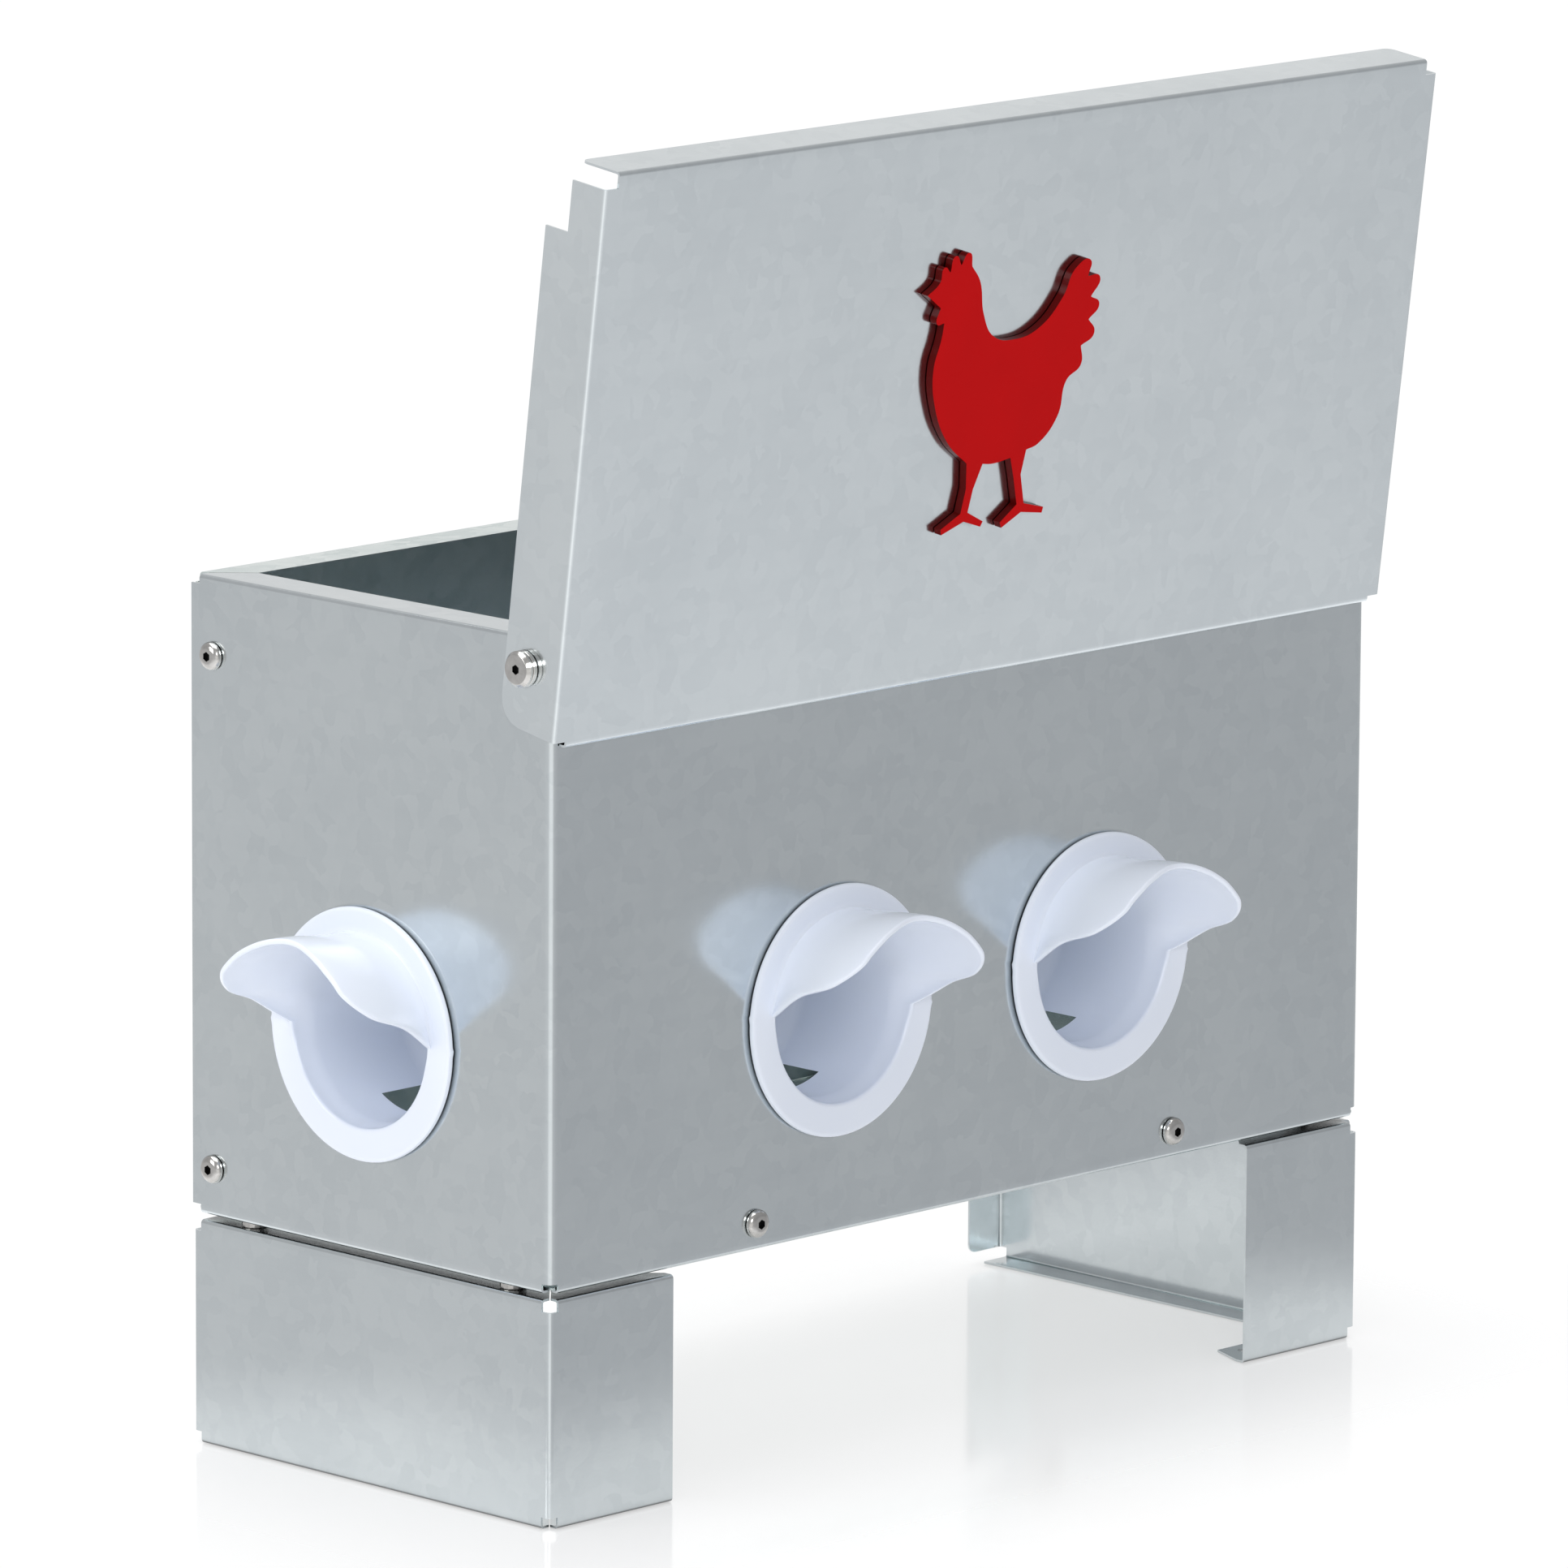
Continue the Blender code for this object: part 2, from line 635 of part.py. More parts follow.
def leg(name, sign, parent):
    """U-shaped leg under one end of the box: end plate, front and back returns, top flanges and feet."""
    bm = bmesh.new()
    middle = (0, CENTRE_Y, LEG_HEIGHT / 2)
    box_walls(bm, (LENGTH, DEPTH, LEG_HEIGHT), middle, [(sign, 0, 0), (0, -1, 0), (0, 1, 0)])
    outer = sign * HALF_LENGTH
    front_edge = sign * (HALF_LENGTH - LEG_FRONT_RETURN)
    back_edge = sign * (HALF_LENGTH - LEG_BACK_RETURN)
    x_relief = sign * (HALF_LENGTH - RELIEF)
    y_front = FRONT_Y + RELIEF
    y_back = BACK_Y - RELIEF
    z_low = RELIEF
    z_high = LEG_HEIGHT - RELIEF
    for x in (front_edge, back_edge, x_relief):
        slice_at(bm, (x, 0, 0), (1, 0, 0))
    for y in (y_front, y_back):
        slice_at(bm, (0, y, 0), (0, 1, 0))
    for z in (z_low, z_high):
        slice_at(bm, (0, 0, z), (0, 0, 1))

    def not_leg(point):
        inward = HALF_LENGTH - sign * point.x
        high_or_low = point.z < z_low or point.z > z_high
        if point.y > y_back:
            return inward > LEG_BACK_RETURN or high_or_low
        if point.y < y_front:
            return inward > LEG_FRONT_RETURN or (high_or_low and inward < RELIEF)
        return False

    drop_faces(bm, not_leg)
    widths = ((LEG_HEIGHT, LEG_TOP_FLANGE, LEG_TOP_FLANGE, 1.0), (0.0, LEG_END_FOOT, LEG_FRONT_FOOT, 0.4))
    for z, end_width, front_width, slant in widths:
        flange(bm, (outer, y_front, z), (outer, y_back, z), (-sign, 0, 0), end_width, (1.0, 0.0))
        flange(bm, (x_relief, FRONT_Y, z), (front_edge, FRONT_Y, z), (0, 1, 0), front_width, (1.0, slant))
    round_outline_corners(
        bm,
        lambda p: p.y > BACK_Y - CLEAR and abs(p.x - back_edge) < CLEAR and p.z < LEG_HEIGHT / 2,
        3.0 * MM,
    )
    round_folds(bm, fold_lines(bm, is_upright), LEG_CORNER_RADIUS, CORNER_SEGMENTS)
    round_folds(bm, flange_creases(bm), FOLD_RADIUS, FOLD_SEGMENTS)
    made = add_sheet(name, bm, parent)

    holes = [(place, "Z", RIVET_RADIUS + CLEAR, 6 * MM) for place in leg_bolt_places(sign).values()]
    anchor = Vector((front_edge + sign * 12 * MM, FRONT_Y + 11.5 * MM, 0))
    holes.append((anchor, "Z", ANCHOR_HOLE_RADIUS, 6 * MM))
    drill(made, holes, parent)


# ------------------------------------------------------------------------------------------- ports


def finished(name, mesh, tools):
    """The mesh after joining or cutting it with helper objects, which are then removed."""
    blank = bpy.data.objects.new(name, mesh)
    CUTTERS.objects.link(blank)
    blank.hide_render = True
    for operation, helper in tools:
        boolean(blank, helper, operation)
    bpy.context.view_layer.update()
    evaluated = blank.evaluated_get(bpy.context.evaluated_depsgraph_get())
    result = bpy.data.meshes.new_from_object(evaluated)
    result.name = name
    for helper in [blank] + [tool for _, tool in tools]:
        bpy.data.objects.remove(helper, do_unlink=True)
    return result


def arc(centre, radius, start_deg, end_deg, steps):
    """Points of an arc in the profile plane, as (radius, height)."""
    points = []
    for step in range(steps + 1):
        angle = math.radians(start_deg + (end_deg - start_deg) * step / steps)
        points.append((centre[0] + radius * math.cos(angle), centre[1] + radius * math.sin(angle)))
    return points


def port_profile():
    """Half section of the port body: the cup inside, the flange outside the wall, then the cup's back."""
    lip = PORT_MOUTH_RADIUS - THROAT_RADIUS
    face = PORT_FLANGE_THICKNESS
    outer = THROAT_RADIUS + PORT_WALL
    rise = PORT_DEPTH - THROAT_LENGTH
    inner_dome = rise - PORT_WALL

    def back(radius, height, steps):
        turns = [math.radians(90) * step / steps for step in range(steps + 1)]
        return [(radius * math.sin(a), -THROAT_LENGTH - height * math.cos(a)) for a in turns]

    inside = back(THROAT_RADIUS, inner_dome, 4)
    mouth = arc((THROAT_RADIUS + lip, face - lip), lip, 180, 90, 3)
    rim = [
        (PORT_FLANGE_RADIUS - 1.2 * MM, face),
        (PORT_FLANGE_RADIUS, face - 1.1 * MM),
        (PORT_FLANGE_RADIUS, face - 1.7 * MM),
        (PORT_FLANGE_RADIUS - 0.9 * MM, CLEAR),
        (outer, CLEAR),
    ]
    outside = back(outer, rise, 4)
    return inside + mouth + rim + outside[::-1]


def visor_edge(share):
    """Angle, radius and reach of the visor's free edge, from its crown (0) to its root (1)."""
    crown, first = VISOR_EDGE[0], VISOR_EDGE[1]
    last, before = VISOR_EDGE[-1], VISOR_EDGE[-2]
    points = [(-first[0], first[1], first[2]), *VISOR_EDGE, tuple(2 * a - b for a, b in zip(last, before))]
    spans = len(VISOR_EDGE) - 1
    span = min(int(share * spans), spans - 1)
    t = share * spans - span
    p0, p1, p2, p3 = points[span : span + 4]
    weights = (
        (-t + 2 * t**2 - t**3) / 2,
        (2 - 5 * t**2 + 3 * t**3) / 2,
        (t + 4 * t**2 - 3 * t**3) / 2,
        (-(t**2) + t**3) / 2,
    )
    return [sum(w * p[axis] for w, p in zip(weights, (p0, p1, p2, p3))) for axis in range(len(crown))]


def visor(columns, rows):
    """Rain visor: a surface lofted from an arc on the flange out to the flared free edge."""
    bm = bmesh.new()
    root = PORT_FLANGE_THICKNESS / 3
    grid = []
    for column in range(-columns, columns + 1):
        degrees, radius, reach = visor_edge(abs(column) / columns)
        angle = math.copysign(math.radians(degrees), column)
        line = []
        for row in range(rows + 1):
            share = row / rows
            r = VISOR_ROOT_RADIUS + (radius - VISOR_ROOT_RADIUS) * share**2.2
            height = root + (reach - root) * share
            line.append(bm.verts.new((r * math.sin(angle), r * math.cos(angle), height)))
        grid.append(line)
    for left, right in zip(grid, grid[1:]):
        for row in range(rows):
            bm.faces.new((left[row], right[row], right[row + 1], left[row + 1]))
    bm.normal_update()
    surface = bpy.data.objects.new("visor", mesh_from(bm, "visor"))
    CUTTERS.objects.link(surface)
    surface.hide_render = True
    solidify = surface.modifiers.new("wall", "SOLIDIFY")
    solidify.thickness = VISOR_THICKNESS
    solidify.offset = 0.0
    return surface


def feed_slot():
    """Cuts away the bottom of the cup behind the wall, where the feed runs in."""
    bm = bmesh.new()
    back = -PORT_DEPTH - 5 * MM
    size = (90 * MM, 30 * MM, -FEED_SLOT_START - back)
    centre = (0, -FEED_SLOT_TOP - 15 * MM, (back - FEED_SLOT_START) / 2)
    bmesh.ops.create_cube(bm, size=1.0, matrix=Matrix.Translation(centre) @ Matrix.Diagonal((*size, 1.0)))
    return add_cutter("feed_slot", bm, None)


def feed_ports(parent):
    """The four ports and the rings that hold them in the wall. Local +Z faces out and +Y is up."""
    tools = [("UNION", visor(10, 4)), ("DIFFERENCE", feed_slot())]
    port = finished("feed_port", turned("port_body", port_profile(), PORT_SEGMENTS), tools)
    port.shade_smooth()
    port.set_sharp_from_angle(angle=math.radians(35))
    bore = THROAT_RADIUS + PORT_WALL + CLEAR
    ring = ring_mesh("port_ring", RING_RADIUS, bore, RING_THICKNESS, PORT_SEGMENTS)
    for name, (side, place) in port_places().items():
        degrees = PORT_TURN_DEG if side == "front" else END_PORT_TURN_DEG
        turned_in_hole = Euler(FACING[side]).to_matrix() @ Matrix.Rotation(math.radians(degrees), 3, "Z")
        add_object(name, port.copy(), WHITE_PLASTIC, parent, place, turned_in_hole.to_euler())
        behind = place - OUTWARD[side] * (SHEET + CLEAR + RING_THICKNESS)
        add_object(name + "_ring", ring.copy(), WHITE_PLASTIC, parent, behind, FACING[side])


# --------------------------------------------------------------------------------------------- lid


def lid(parent):
    """Folded lid: panel, side skirts, back flange and the short front turn-down that is its stop."""
    bm = bmesh.new()
    length = LID_FRONT_REACH + LID_BACK_REACH
    middle = (0, LID_BACK_REACH - length / 2, LID_RISE / 2)
    box_walls(bm, (2 * LID_HALF_WIDTH, length, LID_RISE), middle, [(0, 0, 1)])
    x_relief = LID_HALF_WIDTH - LID_SIDE_RELIEF
    y_front = -LID_FRONT_REACH + LID_FRONT_RELIEF
    y_back = LID_BACK_REACH - LID_BACK_RELIEF
    for x in (-x_relief, x_relief):
        slice_at(bm, (x, 0, 0), (1, 0, 0))
    for y in (y_front, y_back):
        slice_at(bm, (0, y, 0), (0, 1, 0))
    drop_faces(bm, lambda p: abs(p.x) > x_relief and not y_front < p.y < y_back)
    for sign in (-1, 1):
        x = sign * LID_HALF_WIDTH
        fold(bm, (x, y_front, LID_RISE), (x, y_back, LID_RISE), (0, 0, -LID_SKIRT_DEPTH), (1.5 * MM, 0))
    for y, depth in ((-LID_FRONT_REACH, LID_STOP_DEPTH), (LID_BACK_REACH, LID_BACK_FLANGE)):
        fold(bm, (-x_relief, y, LID_RISE), (x_relief, y, LID_RISE), (0, 0, -depth))
    step_z = LID_RISE - LID_SKIRT_STEP_DEPTH
    slice_at(bm, (0, LID_SKIRT_STEP, 0), (0, 1, 0))
    slice_at(bm, (0, 0, step_z), (0, 0, 1))
    drop_faces(bm, lambda p: abs(p.x) > x_relief and p.y > LID_SKIRT_STEP and p.z < step_z)
    round_outline_corners(bm, lambda p: p.y < 0 and p.z < -LID_SKIRT_DEPTH / 4, LID_SKIRT_ROUND, 4)
    round_outline_corners(bm, lambda p: p.y > y_back + CLEAR and p.z < LID_RISE - LID_STOP_DEPTH, 3 * MM)
    round_folds(bm, fold_lines(bm), FOLD_RADIUS, FOLD_SEGMENTS)
    made = add_sheet("lid", bm, parent)
    drill(made, [((sign * LID_HALF_WIDTH, 0, 0), "X", HOLE_RADIUS, 6 * MM) for sign in (-1, 1)], parent)


# Outline of a hen facing left, in millimetres about the emblem's centre. A third value of 1 marks a sharp
# corner; the others are smooth.
HEN = (
    (-43.0, 37.5, 1),
    (-37.5, 41.5, 0),
    (-36.0, 46.5, 0),
    (-33.0, 44.5, 1),
    (-31.0, 50.0, 0),
    (-28.0, 46.5, 1),
    (-24.5, 50.5, 0),
    (-22.5, 45.5, 1),
    (-18.0, 40.0, 0),
    (-14.5, 28.0, 0),
    (-9.0, 20.0, 0),
    (2.0, 17.5, 0),
    (14.0, 20.5, 0),
    (24.0, 30.0, 0),
    (29.0, 39.5, 0),
    (36.0, 41.5, 0),
    (35.5, 36.0, 1),
    (41.5, 35.0, 0),
    (38.0, 28.5, 1),
    (42.5, 25.5, 0),
    (38.0, 20.5, 1),
    (41.5, 15.5, 0),
    (35.5, 11.5, 1),
    (36.5, 5.0, 0),
    (30.0, 0.0, 0),
    (27.5, -12.0, 0),
    (19.0, -21.0, 0),
    (13.5, -22.5, 1),
    (12.0, -31.0, 1),
    (15.0, -41.5, 1),
    (25.0, -44.0, 1),
    (24.5, -46.0, 1),
    (14.0, -44.5, 1),
    (5.0, -49.0, 1),
    (4.0, -47.0, 1),
    (11.5, -41.5, 1),
    (8.5, -31.5, 1),
    (6.0, -24.5, 1),
    (-3.0, -25.5, 0),
    (-7.5, -25.0, 1),
    (-11.0, -33.5, 1),
    (-12.5, -41.5, 1),
    (-4.5, -45.5, 1),
    (-5.5, -47.3, 1),
    (-14.0, -44.5, 1),
    (-24.5, -48.0, 1),
    (-25.0, -46.0, 1),
    (-16.0, -41.5, 1),
    (-14.5, -33.0, 1),
    (-15.5, -24.0, 1),
    (-26.0, -15.5, 0),
    (-34.0, -2.0, 0),
    (-36.5, 11.0, 0),
    (-34.0, 22.0, 0),
    (-33.5, 27.0, 1),
    (-37.0, 27.0, 0),
    (-36.0, 32.5, 1),
)


def hen_emblem(parent):
    """Raised hen silhouette fixed flat on the lid."""
    curve = bpy.data.curves.new("hen_emblem", "CURVE")
    curve.dimensions = "2D"
    curve.fill_mode = "BOTH"
    curve.resolution_u = 3
    curve.extrude = EMBLEM_THICKNESS / 2
    spline = curve.splines.new("BEZIER")
    spline.bezier_points.add(len(HEN) - 1)
    for point, (x, y, sharp) in zip(spline.bezier_points, HEN):
        point.co = (x * MM, y * MM, 0)
        handle = "VECTOR" if sharp else "AUTO"
        point.handle_left_type = handle
        point.handle_right_type = handle
    spline.use_cyclic_u = True
    height = LID_RISE + CLEAR + EMBLEM_THICKNESS / 2
    emblem = bpy.data.objects.new("hen_emblem", curve)
    PARTS.objects.link(emblem)
    curve.materials.append(new_material("hen_emblem", *RED_ACRYLIC))
    emblem.parent = parent
    emblem.location = (EMBLEM_X, EMBLEM_Y, height)


# ---------------------------------------------------------------------------------------- assembly


def pivots(parent):
    """On each side: bolt and disc outside the lid's skirt, spacer inside it, nut inside the box."""
    disc = ring_mesh("pivot_disc", PIVOT_HEAD_RADIUS, THREAD_RADIUS + CLEAR, PIVOT_DISC_HEIGHT)
    gap = LID_HALF_WIDTH - SHEET - HALF_LENGTH
    spacer = ring_mesh("pivot_spacer", PIVOT_HEAD_RADIUS, THREAD_RADIUS + CLEAR, gap - 2 * CLEAR)
    seat = LID_HALF_WIDTH + PIVOT_DISC_HEIGHT + 2 * CLEAR
    nut_back = HALF_LENGTH - SHEET - CLEAR - NUT_HEIGHT
    bolt = pivot_bolt_mesh(seat - nut_back + 1 * MM)
    for side in ("left", "right"):
        out = OUTWARD[side]
        axis = Vector((0, PIVOT_Y, PIVOT_Z))
        turn = FACING[side]
        stem = side + "_pivot"
        add_bolt(stem + "_bolt", bolt, PIVOT_HEAD_HEIGHT, parent, axis + out * seat, turn)
        add_object(stem + "_disc", disc.copy(), STAINLESS, parent, axis + out * (LID_HALF_WIDTH + CLEAR), turn)
        add_object(stem + "_spacer", spacer.copy(), NYLON, parent, axis + out * (HALF_LENGTH + CLEAR), turn)
        add_nut(stem + "_nut", parent, axis + out * nut_back, turn)


def fasteners(parent):
    bolt = button_bolt_mesh()
    grip = 2 * SHEET + CLEAR
    for face, y in (("front", FRONT_Y), ("back", BACK_Y)):
        for name, seat in panel_bolt_seats(y).items():
            bolt_through(f"{face}_{name}", bolt, face, seat, grip, parent)
    insert = rivet_nut_mesh()
    for side, sign in (("left", -1), ("right", 1)):
        for name, seat in end_bolt_seats(sign).items():
            bolt_through(f"{side}_end_{name}", bolt, side, seat, grip, parent)
        for name, place in leg_bolt_places(sign).items():
            stem = f"{side}_leg_{name}"
            head_seat = Vector((place.x, place.y, PAN_Z + SHEET + CLEAR))
            add_bolt(stem + "_bolt", bolt, HEAD_HEIGHT, parent, head_seat, FACING["up"])
            collar_seat = place + Vector((0, 0, CLEAR))
            add_object(stem + "_rivet_nut", insert.copy(), STAINLESS, parent, collar_seat)


def build():
    frame = add_empty("feeder", (0, 0, 0))
    hinge = add_empty("lid_hinge", (0, PIVOT_Y, PIVOT_Z), (math.radians(LID_OPEN_DEG), 0, 0), frame)
    bpy.context.view_layer.update()
    front_and_ends(frame)
    back_panel(frame)
    floor_pan(frame)
    leg("left_leg", -1, frame)
    leg("right_leg", 1, frame)
    feed_ports(frame)
    lid(hinge)
    hen_emblem(hinge)
    pivots(frame)
    fasteners(frame)


build()
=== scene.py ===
"""Looks for the gravity poultry feeder: finer sheet metal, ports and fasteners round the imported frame.

Every piece stands for the CAD node of its name. Units are metres, +Z is up, and the front faces -Y.
"""

import json
import math

import bmesh
import bpy
from mathutils import Euler, Matrix, Vector


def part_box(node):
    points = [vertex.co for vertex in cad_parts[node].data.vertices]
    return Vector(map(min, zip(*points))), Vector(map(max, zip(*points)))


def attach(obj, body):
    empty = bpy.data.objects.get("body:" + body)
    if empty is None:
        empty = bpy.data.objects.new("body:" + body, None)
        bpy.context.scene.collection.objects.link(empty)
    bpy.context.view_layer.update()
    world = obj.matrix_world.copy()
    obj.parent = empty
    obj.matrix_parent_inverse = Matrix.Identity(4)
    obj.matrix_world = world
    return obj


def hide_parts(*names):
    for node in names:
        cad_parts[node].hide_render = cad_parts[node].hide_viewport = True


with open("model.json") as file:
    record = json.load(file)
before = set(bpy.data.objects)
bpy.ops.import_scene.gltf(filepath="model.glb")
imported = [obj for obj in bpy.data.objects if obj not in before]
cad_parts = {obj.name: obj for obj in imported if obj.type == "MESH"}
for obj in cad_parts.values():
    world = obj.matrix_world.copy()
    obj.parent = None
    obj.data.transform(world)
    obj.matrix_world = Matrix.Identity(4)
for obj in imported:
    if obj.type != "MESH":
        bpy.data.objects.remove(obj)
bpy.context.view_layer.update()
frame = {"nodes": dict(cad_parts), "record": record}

MM = 0.001

# Sheet metal
SHEET = 0.8 * MM
CLEAR = 0.3 * MM  # running gap between any two pieces that lie against each other
RELIEF = 4.0 * MM  # corner relief, where two folds would meet
FOLD_RADIUS = 1.4 * MM
FOLD_SEGMENTS = 5
CORNER_SEGMENTS = 8

# Box
LENGTH = 400.0 * MM
DEPTH = 174.0 * MM
LEG_HEIGHT = 78.4 * MM
LEG_GAP = 2.2 * MM  # left by the collars of the rivet nuts
BOX_HEIGHT = 221.4 * MM
BOX_CORNER_RADIUS = 3.5 * MM
RIM_WIDTH = 16.0 * MM  # inward flange round the mouth
SILL_WIDTH = 14.0 * MM  # inward flange round the bottom
BACK_TAB_WIDTH = 16.0 * MM
PAN_TURN_UP = 13.0 * MM

# Legs
LEG_CORNER_RADIUS = 2.0 * MM
LEG_FRONT_RETURN = 58.0 * MM
LEG_BACK_RETURN = 17.0 * MM
LEG_TOP_FLANGE = 12.5 * MM
LEG_END_FOOT = 12.5 * MM
LEG_FRONT_FOOT = 18.0 * MM
ANCHOR_HOLE_RADIUS = 2.0 * MM

# Feed ports
PORT_SPACING = 128.0 * MM
PORT_HEIGHT = 157.8 * MM
PORT_TURN_DEG = -4.5  # the ports aren't keyed, and sit slightly turned in their holes
END_PORT_HEIGHT = 155.8 * MM
END_PORT_SETBACK = 1.8 * MM  # behind the middle of the end wall
END_PORT_TURN_DEG = 1.0
PORT_FLANGE_RADIUS = 43.5 * MM
PORT_FLANGE_THICKNESS = 3.0 * MM
THROAT_RADIUS = 31.0 * MM
PORT_MOUTH_RADIUS = 33.0 * MM
PORT_WALL = 2.0 * MM
THROAT_LENGTH = 44.0 * MM
PORT_DEPTH = 56.0 * MM
FEED_SLOT_START = 23.0 * MM
FEED_SLOT_TOP = 26.2 * MM  # below the port's axis
RING_RADIUS = 39.5 * MM
RING_THICKNESS = 5.0 * MM
PORT_SEGMENTS = 96
VISOR_ROOT_RADIUS = 34.0 * MM
# Free edge of the visor from its crown down one side: angle from the top, radius, reach from the wall.
VISOR_EDGE = (
    (0.0, 36.4 * MM, 35.8 * MM),
    (26.3, 36.3 * MM, 38.2 * MM),
    (50.1, 36.8 * MM, 39.0 * MM),
    (66.7, 37.8 * MM, 31.1 * MM),
    (76.4, 38.0 * MM, 16.9 * MM),
    (90.0, 33.8 * MM, 3.2 * MM),
)

# Lid, in its own frame: the hinge axis at y = z = 0, the panel towards +Y and its outer face at LID_RISE
LID_OPEN_DEG = 97.2
LID_HALF_WIDTH = 202.7 * MM
LID_RISE = 16.1 * MM
LID_FRONT_REACH = 24.2 * MM
LID_BACK_REACH = 171.5 * MM
LID_FRONT_RELIEF = 2.3 * MM
LID_BACK_RELIEF = 5.4 * MM
LID_SIDE_RELIEF = 6.0 * MM
LID_STOP_DEPTH = 3.1 * MM
LID_BACK_FLANGE = 18.4 * MM
LID_SKIRT_DEPTH = 25.8 * MM
LID_SKIRT_STEP = 148.5 * MM  # the skirt is cut back past here, to clear the bolt in the end wall
LID_SKIRT_STEP_DEPTH = 15.4 * MM
LID_SKIRT_ROUND = 9.0 * MM
PIVOT_FROM_FRONT = 9.5 * MM
PIVOT_FROM_TOP = 10.3 * MM

# Hen emblem on the lid: centre in the lid's frame
EMBLEM_X = -5.0 * MM
EMBLEM_Y = 77.0 * MM
EMBLEM_THICKNESS = 3.0 * MM

# M5 fasteners
THREAD_RADIUS = 2.5 * MM
HOLE_RADIUS = 2.9 * MM
HEAD_RADIUS = 4.9 * MM
HEAD_HEIGHT = 2.7 * MM
HEX_KEY = 3.0 * MM
NUT_HEIGHT = 4.0 * MM
BOLT_LENGTH = 9.0 * MM
PIVOT_HEAD_RADIUS = 6.15 * MM
PIVOT_HEAD_HEIGHT = 2.3 * MM
PIVOT_DISC_HEIGHT = 1.7 * MM
RIVET_RADIUS = 3.4 * MM
BOLT_SEGMENTS = 40
END_BOLT_FROM_BACK = 10.5 * MM
END_BOLT_FROM_TOP = 27.2 * MM
END_BOLT_FROM_BOTTOM = 16.5 * MM
PANEL_BOLT_X = 103.0 * MM
PANEL_BOLT_RISE = 9.2 * MM
LEG_BOLT_INSET = 6.5 * MM
LEG_BOLT_Y = 63.0 * MM

# Derived places
HALF_LENGTH = LENGTH / 2
BOX_BOTTOM = LEG_HEIGHT + LEG_GAP
BOX_TOP = BOX_BOTTOM + BOX_HEIGHT
wrap_low, wrap_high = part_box("front_and_ends")
CENTRE_Y = (wrap_low.y + wrap_high.y) / 2
FRONT_Y = CENTRE_Y - DEPTH / 2
BACK_Y = CENTRE_Y + DEPTH / 2
PIVOT_Y = FRONT_Y + PIVOT_FROM_FRONT
PIVOT_Z = BOX_TOP - PIVOT_FROM_TOP
PAN_Z = BOX_BOTTOM + SHEET + CLEAR  # underside of the floor pan
PAN_HALF_LENGTH = HALF_LENGTH - 2 * SHEET - 3 * CLEAR



# ----------------------------------------------------------------------------------------- materials

CREVICE = 6 * MM  # gaps narrower than this get painted shade, the zinc's colour darkened there
SPANGLE_SHARE = 0.3  # weight of crystals and streaks against the broad clouds of tone

def shader_of(material):
    material.use_nodes = True
    return material.node_tree, material.node_tree.nodes["Principled BSDF"]


def new_node(tree, kind, inputs=None, **settings):
    node = tree.nodes.new(kind)
    for name, value in settings.items():
        setattr(node, name, value)
    for name, value in (inputs or {}).items():
        node.inputs[name].default_value = value
    return node


def ramp(tree, source, stops):
    """Colour ramp on a value, with stops of (position, colour)."""
    node = tree.nodes.new("ShaderNodeValToRGB")
    while len(node.color_ramp.elements) < len(stops):
        node.color_ramp.elements.new(0.5)
    for element, (position, colour) in zip(node.color_ramp.elements, stops):
        element.position = position
        element.color = (*colour, 1.0)
    tree.links.new(source, node.inputs["Fac"])
    return node.outputs["Color"]


def span(tree, source, start, end, low=0.0, high=1.0):
    """Carries a value from one range to another, and holds it past the ends."""
    node = new_node(tree, "ShaderNodeMapRange", {"From Min": start, "From Max": end})
    node.inputs["To Min"].default_value = low
    node.inputs["To Max"].default_value = high
    tree.links.new(source, node.inputs["Value"])
    return node.outputs["Result"]


def mapped(tree, scale, stretch=(1.0, 1.0, 1.0)):
    """Object coordinates scaled per axis."""
    coords = new_node(tree, "ShaderNodeTexCoord")
    mapping = new_node(tree, "ShaderNodeMapping")
    mapping.inputs["Scale"].default_value = tuple(scale * axis for axis in stretch)
    tree.links.new(coords.outputs["Object"], mapping.inputs["Vector"])
    return mapping.outputs["Vector"]


def noise(tree, vector, scale, detail=3.0, roughness=0.5):
    node = new_node(tree, "ShaderNodeTexNoise", {"Scale": scale, "Detail": detail, "Roughness": roughness})
    tree.links.new(vector, node.inputs["Vector"])
    return node.outputs["Fac"]


def bumped(tree, height, strength, distance, normal=None):
    node = new_node(tree, "ShaderNodeBump", {"Strength": strength, "Distance": distance})
    tree.links.new(height, node.inputs["Height"])
    if normal is not None:
        tree.links.new(normal, node.inputs["Normal"])
    return node.outputs["Normal"]


def weighted_sum(tree, value, share, other):
    node = new_node(tree, "ShaderNodeMath", operation="MULTIPLY_ADD")
    tree.links.new(value, node.inputs[0])
    node.inputs[1].default_value = share
    tree.links.new(other, node.inputs[2])
    return node.outputs["Value"]


